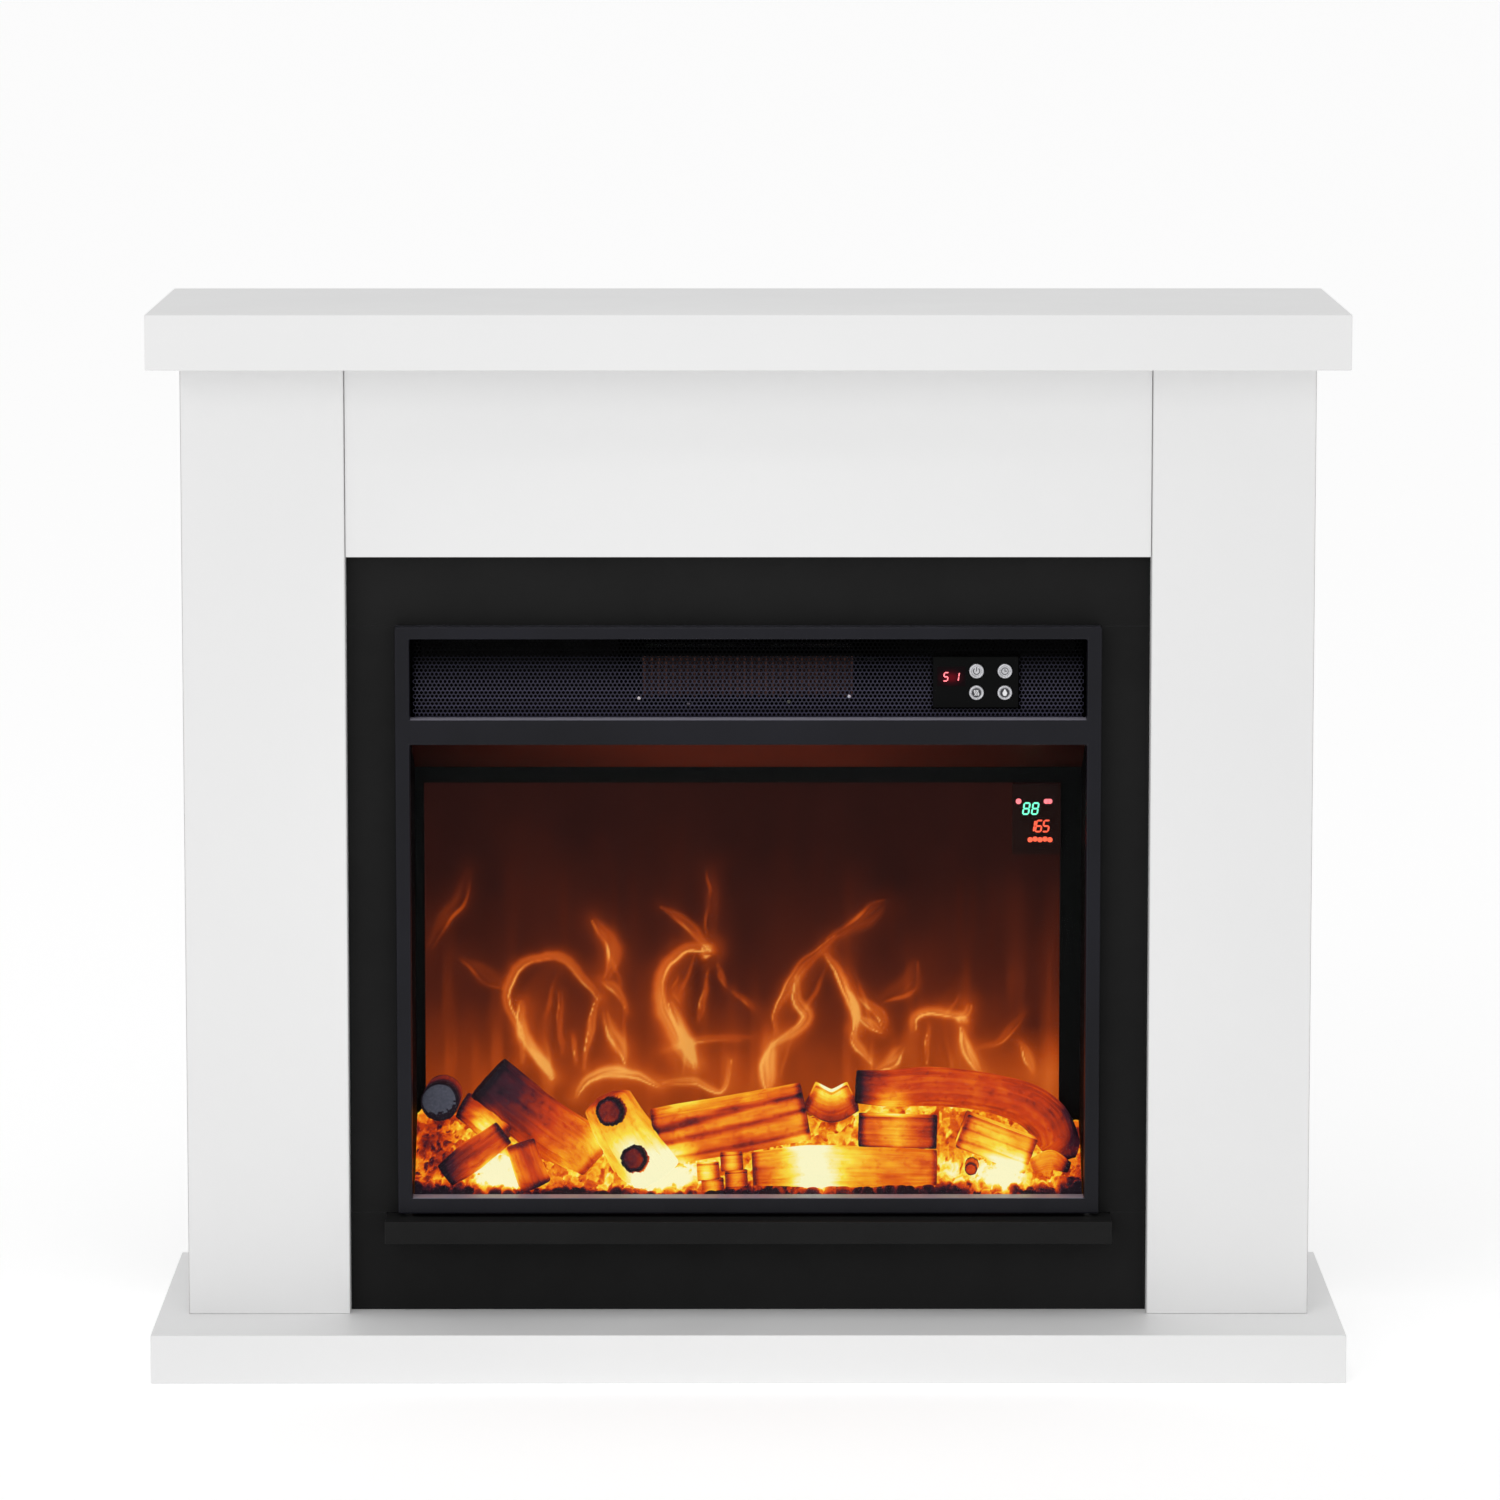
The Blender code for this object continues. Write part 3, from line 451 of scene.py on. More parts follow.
def lit(name, colour, strength):
    """A lit segment: the same colour all over, with a slightly uneven face."""
    finish = Finish(name)
    dimmer = (*(0.85 * c for c in colour[:3]), 1)
    uneven = finish.vary(900, 2, dimmer, colour)
    finish.set(Base_Color=colour, Emission_Color=uneven, Emission_Strength=strength)
    return finish.set(Roughness=0.5).material


def symbol_ink(name, dark, light):
    finish = Finish(name)
    body = finish.vary(1200, 2, linear(*dark), linear(*light))
    return finish.set(Base_Color=body, Roughness=0.6).grained(2500, 2, 0.00002, 0.4)


def red_lens():
    """The tinted window over the panel's figures, glowing softly around them."""
    finish = Finish("red_lens")
    lo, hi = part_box("control_panel")
    centre = (-lo[0] - 0.0150, -lo[1], -(lo[2] + hi[2]) / 2 - 0.0040)
    where = finish.add("TexCoord").outputs["Object"]
    moved = finish.add("Mapping", {"Vector": where, "Location": centre}).outputs[0]
    near = finish.add("Mapping", {"Vector": moved, "Scale": (85, 85, 130)}).outputs[0]
    away = finish.add("VectorMath", {0: near}, operation="LENGTH").outputs["Value"]
    glow = finish.ramp(away, (0.2, linear(92, 4, 16)), (0.6, linear(40, 2, 8)), (1.0, linear(4, 1, 2)))
    finish.set(Base_Color=(0.003, 0.0005, 0.001, 1), Emission_Color=glow, Emission_Strength=1.0)
    finish.set(Roughness=0.3, Specular_IOR_Level=0.05)
    return finish.grained(900, 2, 0.00002, 0.3)


def slate_end():
    """A cut log end: grey, with growth rings."""
    finish = Finish("slate_end")
    fine = finish.noise(500, 4)
    body = finish.ramp(fine, (0.3, linear(58, 60, 72)), (0.7, linear(84, 86, 100)))
    # The faint grey glow is painted light on the cut face.
    finish.set(Base_Color=body, Roughness=0.85, Emission_Color=linear(42, 42, 52), Emission_Strength=0.5)
    return finish.bump(fine, 0.0003, 0.6).material


def label_foil():
    finish = Finish("label_foil")
    brushed = finish.noise(900, 3, (0.04, 1, 1))
    body = finish.ramp(brushed, (0.3, linear(168, 168, 171)), (0.7, linear(196, 196, 198)))
    finish.set(Base_Color=body, Metallic=0.4, Roughness=0.45)
    return finish.grained(300, 2, 0.00005, 0.3)


FINISHES = {
    "white_lacquer": white_lacquer(),
    "raw_batten": raw_batten(),
    "black_board": black_board(),
    "bezel_paint": bezel_paint(),
    "black_steel": black_steel(),
    "galvanised_steel": galvanised(),
    "clear_glass": clear_glass(),
    "polished_aluminium": polished(),
    "black_plastic": black_plastic(),
    "button_chrome": button_chrome(),
    "circuit_board": circuit_board(),
    "heater_fins": heater_fins(),
    "motor_steel": motor_steel(),
    "flame_screen": flame_picture(),
    "log_resin": glowing("log_resin", (24, 150, 1), 0.08, 0.05, 0.0004),
    "ember_resin": glowing("ember_resin", (190, 190, 190), 0.16, 0.10, 0.0007),
    "matt_black": matt_black(),
    "filter_foam": matt_black("filter_foam", (12, 12, 13), (22, 22, 23)),
    "smoked_lens": matt_black("smoked_lens", (34, 17, 15), (42, 22, 19)),
    "painted_fire_glow": painted_fire_glow(),
    "outlet_paint": outlet_paint(),
    # A darker copy of galvanised steel, as painted shade.
    "painted_shade_zinc": galvanised("painted_shade_zinc", 0.16),
    "symbol_dark": symbol_ink("symbol_dark", (34, 34, 38), (56, 56, 62)),
    "symbol_white": symbol_ink("symbol_white", (226, 226, 228), (242, 242, 244)),
    "label_foil": label_foil(),
    "red_lens": red_lens(),
    "slate_end": slate_end(),
    "red_segment": lit("red_segment", linear(255, 120, 128), 1.25),
    "orange_segment": lit("orange_segment", linear(255, 92, 60), 1.25),
    "green_segment": lit("green_segment", linear(120, 255, 205), 1.2),
}


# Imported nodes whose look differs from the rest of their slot.
DARKENED = (
    "screen_frame", "casing_left", "casing_right", "casing_top", "control_panel",
    "heater_frame", "fan_housing", "fan_motor", "control_board", "power_board",
)
SPECIAL = dict.fromkeys(DARKENED, "matt_black")
# The firebox ceiling takes a painted glow of the fire; the fan wheel takes the darker zinc, as painted shade.
SPECIAL |= {"firebox_ceiling": "painted_fire_glow", "display_module": "smoked_lens", "fan_wheel": "painted_shade_zinc"}


def paint_cad():
    """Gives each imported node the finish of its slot, or its own."""
    for row in frame["record"]["subparts"]:
        made = frame["nodes"][row["node"]]
        for slot in made.material_slots:
            slot.material = FINISHES[SPECIAL.get(row["node"], row["material_slot"])]


# ---- building pieces -----------------------------------------------------------------------
def piece(name, mesh, finish, body=ROOT, stands_for=(), smooth=True):
    """Adds a piece of the object: its finish, the body it rides on and the nodes it stands for."""
    if smooth:
        mesh.shade_smooth()
        mesh.set_sharp_from_angle(angle=math.radians(50))
    made = bpy.data.objects.new(name, mesh)
    bpy.context.scene.collection.objects.link(made)
    mesh.materials.append(FINISHES[finish])
    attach(made, body)
    if stands_for:
        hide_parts(*stands_for)
    return made


def from_bmesh(name, shape):
    mesh = bpy.data.meshes.new(name)
    bmesh.ops.recalc_face_normals(shape, faces=shape.faces)
    shape.to_mesh(mesh)
    shape.free()
    return mesh


def shaped(name, shape, finish, body=ROOT, stands_for=(), smooth=False):
    """A piece made straight from a bmesh; most of them are small flat fittings."""
    return piece(name, from_bmesh(name, shape), finish, body, stands_for, smooth)


def closed_sheet(name, rows, behind):
    """A mesh over a grid of places, closed by a rim that behind() puts at the back and one flat face."""
    shape = bmesh.new()
    grid = [[shape.verts.new(place) for place in row] for row in rows]
    for low, high in zip(grid, grid[1:]):
        for i in range(len(low) - 1):
            shape.faces.new((low[i], low[i + 1], high[i + 1], high[i]))
    rim = grid[0] + [row[-1] for row in grid[1:]] + grid[-1][-2::-1] + [row[0] for row in grid[-2:0:-1]]
    back = [shape.verts.new(behind(v.co)) for v in rim]
    for i, vert in enumerate(rim):
        j = (i + 1) % len(rim)
        shape.faces.new((vert, back[i], back[j], rim[j]))
    shape.faces.new(back)
    return from_bmesh(name, shape)


def vertex_places(mesh):
    places = np.empty(len(mesh.vertices) * 3)
    mesh.vertices.foreach_get("co", places)
    return places.reshape(-1, 3)


def value_noise(points, seed):
    """Smooth noise from 0 to 1 at each row of points."""
    cell = np.floor(points).astype(np.int64)
    part = points - cell
    part = part * part * (3 - 2 * part)
    total = np.zeros(len(points))
    for corner in range(8):
        step = np.array([corner & 1, corner >> 1 & 1, corner >> 2 & 1])
        where = cell + step
        mixed = where[:, 0] * 374761393 + where[:, 1] * 668265263 + where[:, 2] * 1274126177 + seed * 974711
        mixed = (mixed ^ (mixed >> 13)) * 1274126177 & 0x7FFFFFFF
        level = ((mixed ^ (mixed >> 16)) & 0xFFFF) / 65535
        weight = np.prod(np.where(step == 1, part, 1 - part), axis=1)
        total += level * weight
    return total


def layered_noise(points, seed, octaves=4):
    total, weight = np.zeros(len(points)), 0.0
    for i in range(octaves):
        total += value_noise(points * 2**i, seed + i) * 0.5**i
        weight += 0.5**i
    return total / weight


def through(knots, count):
    """count points on a smooth curve through the knots, evenly spaced by knot number."""
    knots = np.array(knots, float)
    chain = np.vstack([2 * knots[0] - knots[1], knots, 2 * knots[-1] - knots[-2]])
    where = np.linspace(0, len(knots) - 1, count)
    first = np.minimum(where.astype(int), len(knots) - 2)
    t = (where - first)[:, None]
    a, b, c, d = (chain[first + i] for i in range(4))
    return 0.5 * (2 * b + (c - a) * t + (2 * a - 5 * b + 4 * c - d) * t**2 + (3 * b - a - 3 * c + d) * t**3)


def set_point_data(mesh, name, values, kind="FLOAT"):
    layer = mesh.attributes.new(name, kind, "POINT")
    field = {"FLOAT": "value", "FLOAT_VECTOR": "vector", "FLOAT_COLOR": "color"}[kind]
    layer.data.foreach_set(field, np.asarray(values, np.float32).ravel())


# ---- flame picture -------------------------------------------------------------------------
# Each flame: its half width and brightness, then its knots as (x, height), all in millimetres.
FLAMES = (
    (5, 0.62, ((-194, 236), (-193, 264), (-205, 295), (-196, 321), (-163, 331), (-136, 307), (-126, 294))),
    (3, 0.60, ((-126, 294), (-136, 268), (-140, 232))),
    (4, 0.44, ((-124, 309), (-113, 299), (-102, 281))),
    (8, 0.50, ((-130, 362), (-117, 339), (-121, 312))),
    (6, 0.74, ((-194, 290), (-190, 262), (-176, 238), (-166, 223))),
    (7, 0.66, ((-121, 281), (-114, 256), (-104, 236))),
    (8, 0.70, ((-49, 234), (-60, 258), (-72, 288), (-73, 316), (-52, 337), (-31, 337))),
    (7, 0.86, ((-64, 290), (-56, 262), (-47, 238))),
    (8, 0.56, ((-38, 338), (-29, 331))),
    (4, 0.40, ((-76, 373), (-49, 355), (-30, 333))),
    (8, 0.18, ((-31, 408), (-32, 348))),
    (3, 0.40, ((-33, 320), (-38, 296), (-41, 273))),
    (3, 0.36, ((-25, 322), (-18, 301))),
    (7, 0.16, ((-60, 315), (-58, 290))),
    (9, 0.24, ((-274, 338), (-260, 360), (-243, 377), (-238, 404))),
    (8, 0.18, ((-246, 329), (-228, 316), (-208, 302))),
    (4, 0.26, ((-76, 247), (-40, 257), (4, 258))),
    (9, 0.28, ((118, 376), (96, 362), (70, 343))),
    (5, 0.46, ((76, 348), (52, 327), (36, 306), (23, 284), (23, 262))),
    (5, 0.70, ((42, 313), (40, 293), (49, 276), (30, 258), (19, 250))),
    (7, 0.84, ((22, 256), (17, 236), (14, 210))),
    (5, 0.84, ((66, 332), (80, 309), (91, 284), (90, 266))),
    (4, 0.62, ((90, 268), (93, 252), (106, 236))),
    (5, 0.48, ((94, 295), (112, 281), (115, 266))),
    (4, 0.60, ((94, 278), (114, 263))),
    (12, 0.22, ((116, 290), (134, 303), (143, 326))),
    (6, 0.66, ((141, 264), (143, 274), (156, 281), (184, 279), (189, 289))),
    (6, 0.62, ((184, 279), (183, 271))),
    (2, 0.36, ((154, 272), (154, 234))),
    (5, 0.84, ((181, 268), (187, 250), (198, 228))),
    (4, 0.24, ((196, 250), (218, 257), (236, 282))),
    (4, 0.46, ((232, 256), (238, 242), (243, 228))),
    (5, 0.90, ((-146, 206), (-138, 220), (-116, 229), (-92, 226), (-76, 216))),
    (4, 0.56, ((-74, 219), (-47, 220), (-23, 213), (-16, 240))),
    (7, 0.60, ((110, 230), (122, 238), (134, 250))),
    (3, 0.30, ((-161, 300), (-160, 246))),
    (3, 0.40, ((-150, 262), (-148, 236))),
    (3, 0.28, ((-12, 300), (6, 282))),
    (14, 0.12, ((-170, 230), (-182, 280), (-160, 325))),
    (14, 0.15, ((-60, 226), (-64, 290), (-44, 336))),
    (14, 0.15, ((26, 226), (42, 290), (68, 332))),
    (13, 0.15, ((104, 226), (100, 272), (84, 320))),
    (12, 0.13, ((170, 226), (164, 272), (178, 300))),
    (13, 0.11, ((-106, 230), (-116, 290), (-126, 352))),
    (4, 0.62, ((-186, 250), (-176, 236), (-168, 222))),
    (4, 0.72, ((-56, 262), (-50, 246), (-46, 232))),
    (4, 0.62, ((88, 300), (91, 284), (91, 268))),
)

# The screen's own light from its foot to its top: (height in millimetres, brightness).
SCREEN_LIGHT = (
    (0, 0.42),
    (215, 0.38),
    (240, 0.335),
    (265, 0.27),
    (300, 0.205),
    (350, 0.155),
    (400, 0.115),
    (480, 0.08),
)

SCREEN_COLOURS = (
    (0.00, linear(22, 9, 8)),
    (0.10, linear(44, 16, 12)),
    (0.20, linear(82, 29, 15)),
    (0.32, linear(132, 48, 14)),
    (0.46, linear(178, 70, 18)),
    (0.62, linear(210, 96, 30)),
    (0.80, linear(234, 130, 50)),
    (1.00, linear(252, 172, 80)),
)


def strand_light(at, path, width):
    """How strongly one strand of flame lights each place, and how far along it that place is."""
    near = np.full(len(at), 1e9)
    share = np.zeros(len(at))
    for i, (a, b) in enumerate(zip(path, path[1:])):
        step = b - a
        t = np.clip(((at - a) @ step) / (step @ step), 0, 1)
        gap = np.hypot(*(at - a - t[:, None] * step).T)
        closer = gap < near
        near[closer] = gap[closer]
        share[closer] = (i + t[closer]) / (len(path) - 1)
    taper = 0.16 + 0.84 * np.sin(np.pi * np.clip(share * 0.94 + 0.03, 0, 1)) ** 0.8
    core = np.exp(-((near / (width * taper)) ** 2))
    body = np.exp(-((near / (1.9 * width * taper)) ** 2))
    halo = np.exp(-((near / (5 * width)) ** 2))
    return core * np.sqrt(taper), 0.36 * body * taper + 0.12 * halo, share


def flame_light(x, z):
    """Brightness from 0 to 1 of the flame picture at these places."""
    flat = np.zeros(len(x))
    sway = layered_noise(np.stack([x * 45, z * 45, flat], 1), 21, 3) - 0.5
    other = layered_noise(np.stack([x * 45, z * 45, flat + 9], 1), 22, 3) - 0.5
    at = np.stack([x + 0.006 * sway, z + 0.004 * other], 1)
    heights, levels = zip(*SCREEN_LIGHT)
    patch = layered_noise(np.stack([x * 16, z * 9, flat], 1), 5)
    light = np.interp(z, np.array(heights) * MM, levels) * (0.74 + 0.52 * patch)
    right = np.clip((x - 0.16) / 0.10, 0, 1)
    light *= 1 - 0.10 * np.clip((-0.20 - x) / 0.08, 0, 1) - 0.26 * right
    light += 0.26 * right * np.clip((0.270 - z) / 0.04, 0, 1)
    lowness = np.clip((0.42 - z) / 0.20, 0, 1)
    streak = layered_noise(np.stack([x * 70, z * 8, flat], 1), 9, 3)
    light += 0.42 * lowness * np.clip(streak - 0.54, 0, 1)
    draw = np.random.default_rng(3)
    for half_width, strength, knots in FLAMES:
        middle = through(np.array(knots) * MM, 22)
        width = half_width * MM
        reach = 5 * width
        low, high = middle.min(0) - reach, middle.max(0) + reach
        near = np.flatnonzero(((at > low) & (at < high)).all(1))
        run = np.gradient(middle, axis=0)
        run /= np.linalg.norm(run, axis=1)[:, None]
        across = np.stack([-run[:, 1], run[:, 0]], 1)
        wave = np.linspace(0, 1, len(middle))
        glow = np.zeros(len(near))
        for strand in (-1, 0, 1):
            drift = strand * 0.46 + 0.25 * np.sin(wave * draw.uniform(3, 7) + draw.uniform(0, 6))
            path = middle + across * (width * drift * np.sin(np.pi * (0.15 + 0.7 * wave)))[:, None]
            core, soft, share = strand_light(at[near], path, width * (0.20, 0.26, 0.30)[strand + 1])
            flicker = 0.82 + 0.34 * np.sin(share * draw.uniform(6, 13) + draw.uniform(0, 6))
            glow = np.maximum(glow, core * flicker * (1.15, 0.50, 0.34)[strand + 1])
            glow = np.maximum(glow, soft)
        light[near] += strength * 1.24 * glow
    return np.clip(light, 0, 1)


def build_flame_picture():
    """A fine sheet in the screen's place, with the flames' colour held at each point."""
    lo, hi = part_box("flame_screen")
    step = 0.0013
    across = int((hi[0] - lo[0]) / step)
    up = int((hi[2] - lo[2]) / step)
    xs, zs = np.linspace(lo[0], hi[0], across), np.linspace(lo[2], hi[2], up)
    rows = [[(x, lo[1], z) for x in xs] for z in zs]
    mesh = closed_sheet("flame_picture", rows, lambda co: (co.x, hi[1], co.z))
    places = vertex_places(mesh)
    light = flame_light(places[:, 0], places[:, 2])
    levels, colours = zip(*SCREEN_COLOURS)
    colours = np.array(colours)
    shade = np.stack([np.interp(light, levels, colours[:, i]) for i in range(4)], 1)
    set_point_data(mesh, "glow", shade, "FLOAT_COLOR")
    piece("flame_picture", mesh, "flame_screen", stands_for=["flame_screen"], smooth=False)


# ---- log bed -------------------------------------------------------------------------------
# Hot places in the bed: (x, y, height, reach, heat), lengths in metres.
HOT = (
    (-0.212, -0.042, 0.153, 0.019, 0.85),
    (-0.248, -0.035, 0.181, 0.012, 0.45),
    (-0.225, -0.034, 0.192, 0.015, 0.50),
    (-0.163, -0.046, 0.160, 0.011, 0.50),
    (-0.100, -0.048, 0.178, 0.016, 0.28),
    (-0.080, -0.050, 0.153, 0.020, 0.70),
    (-0.052, -0.046, 0.150, 0.016, 0.45),
    (0.058, -0.054, 0.150, 0.022, 0.42),
    (0.050, -0.040, 0.176, 0.018, 0.50),
    (0.175, -0.040, 0.188, 0.010, 0.60),
    (0.172, -0.046, 0.162, 0.012, 0.55),
    (0.213, -0.048, 0.150, 0.019, 0.85),
    (0.232, -0.046, 0.162, 0.010, 0.45),
    (0.070, 0.000, 0.220, 0.013, 0.55),
    (0.120, -0.020, 0.203, 0.018, 0.40),
    (-0.060, -0.005, 0.212, 0.022, 0.30),
    (-0.125, -0.030, 0.180, 0.016, 0.22),
    (-0.058, -0.040, 0.162, 0.016, 0.35),
    (0.245, -0.040, 0.185, 0.012, 0.20),
)
# Charred places, which stay dark.
CHARRED = (
    (-0.262, -0.050, 0.214, 0.020, 0.40),
    (-0.278, -0.050, 0.160, 0.022, 0.35),
    (-0.270, -0.020, 0.190, 0.024, 0.40),
    (0.070, -0.002, 0.199, 0.009, 0.45),
    (0.282, -0.050, 0.150, 0.016, 0.40),
    (-0.262, -0.040, 0.176, 0.016, 0.34),
    (-0.180, -0.050, 0.146, 0.010, 0.24),
    (-0.150, -0.055, 0.143, 0.012, 0.30),
    (0.283, -0.010, 0.190, 0.018, 0.55),
    (0.283, -0.035, 0.170, 0.014, 0.40),
)


def heat_at(places, base, seed):
    heat = np.full(len(places), float(base))
    for sign, spots in ((1, HOT), (-1, CHARRED)):
        for x, y, z, reach, amount in spots:
            gap = np.linalg.norm(places - np.array([x, y, z]), axis=1)
            heat += sign * amount * np.exp(-((gap / reach) ** 2))
    return heat + 0.16 * (layered_noise(places * 70, seed) - 0.5)


def round_section(angles):
    return np.ones_like(angles)


def split_section(corners):
    """The outline of a split piece, as distance by angle; its corners are (depth, height)."""
    corners = np.array(corners, float)

    def reach(angles):
        rays = np.stack([np.cos(angles), np.sin(angles)], 1)
        found = np.zeros(len(angles))
        for a, b in zip(corners, np.roll(corners, -1, axis=0)):
            side = b - a
            normal = np.array([side[1], -side[0]])
            if normal @ a < 0:
                normal = -normal
            along = rays @ normal
            distance = np.where(along > 1e-6, (normal @ a) / np.maximum(along, 1e-6), 1e9)
            found = distance if not found.any() else np.minimum(found, distance)
        return found

    return reach


def log(
    name,
    knots,
    radii,
    warmth,
    section=round_section,
    rough=0.08,
    seed=0,
    stands_for=(),
    rounded=0.0,
    face=None,
    stripes=(),
):
    """A moulded log along knots: radii and warmth change along it, and grooves run with the grain.

    rounded is the length over which its ends close in, face is the warmth of its cut ends, and each
    stripe is a charred line: its height at both ends, its half width and its strength.
    """
    length = sum(math.dist(a, b) for a, b in zip(knots, knots[1:]))
    rings, sides = max(16, int(length / 0.0013)), 112
    path = through(knots, rings)
    along = np.linspace(0, 1, rings)
    size = np.interp(along, np.linspace(0, 1, len(radii)), radii)
    warm = np.interp(along, np.linspace(0, 1, len(warmth)), warmth)
    angles = np.linspace(0, 2 * np.pi, sides, endpoint=False)
    outline = section(angles)
    edge = np.clip((outline / outline.max() - 0.88) / 0.12, 0, 1) ** 2
    if section is round_section:
        edge = angles * 0
    travelled = np.r_[0, np.cumsum(np.linalg.norm(np.diff(path, axis=0), axis=1))]
    direction = np.gradient(path, axis=0)
    direction /= np.linalg.norm(direction, axis=1)[:, None]
    upright = np.array([0.0, 0.0, 1.0]) if abs(direction[0][2]) < 0.8 else np.array([1.0, 0.0, 0.0])
    depth = np.cross(upright, direction)
    depth /= np.linalg.norm(depth, axis=1)[:, None]
    height = np.cross(direction, depth)
    places, grains, levels = [], [], []
    for i in range(rings):
        turn = np.stack([np.cos(angles), np.sin(angles)], 1) * outline[:, None]
        coarse = layered_noise(np.c_[turn * 3.2 + seed, np.full(sides, travelled[i] * 16)], seed)
        grooves = layered_noise(np.c_[turn * 11 + seed, np.full(sides, travelled[i] * 13)], seed + 5, 3)
        relief = (coarse - 0.5) * 1.6 + (np.clip(grooves, 0.30, 0.62) - 0.5) * 1.6
        swell = 1 + rough * relief
        end_gap = min(travelled[i], travelled[-1] - travelled[i])
        spread = turn * (size[i] * swell)[:, None]
        spread *= 1 - 0.55 * max(0, 1 - end_gap / rounded) ** 2 if rounded else 1
        places.append(path[i] + depth[i] * spread[:, :1] + height[i] * spread[:, 1:])
        charred = 0.30 * math.exp(-((end_gap / 0.0035) ** 2))
        level = warm[i] - 0.20 * edge - charred + 0.20 * np.clip(grooves - 0.5, -0.22, 0.12)
        for first, last, half, strength in stripes:
            middle = first + (last - first) * along[i] + 0.5 * (coarse - 0.5)
            level = level - strength * np.exp(-(((turn[:, 1] - middle) / half) ** 2))
        levels.append(level)
        grains.append(np.stack([np.full(sides, travelled[i]), angles * size[i], angles * 0], 1))
    for end, sign in ((0, -1), (-1, 1)):
        rim, middle = places[end], path[end]
        level, way = levels[end], direction[end]
        for share in (0.94, 0.70, 0.42, 0.14):
            ring = middle + (rim - middle) * share
            dent = layered_noise(ring * 500, seed, 2)
            ring = ring + sign * way * (0.0004 + 0.0009 * dent)[:, None]
            cut = np.stack([angles * 0 + share, angles * 0.004, angles * 0], 1)
            inner = level if face is None or share > 0.9 else face
            shade = inner + 0.14 * (dent - 0.5)
            if end == 0:
                places.insert(0, ring)
                grains.insert(0, cut)
                levels.insert(0, shade)
            else:
                places.append(ring)
                grains.append(cut)
                levels.append(shade)
    shape = bmesh.new()
    verts = [[shape.verts.new(p) for p in ring] for ring in places]
    for low, high in zip(verts, verts[1:]):
        for i in range(sides):
            j = (i + 1) % sides
            shape.faces.new((low[i], low[j], high[j], high[i]))
    shape.faces.new(verts[0])
    shape.faces.new(verts[-1])
    mesh = from_bmesh(name, shape)
    set_point_data(mesh, "warmth", heat_at(np.vstack(places), 0, seed) + np.concatenate(levels))
    set_point_data(mesh, "grain", np.vstack(grains) + seed * 0.1, "FLOAT_VECTOR")
    piece(name, mesh, "log_resin", stands_for=stands_for)


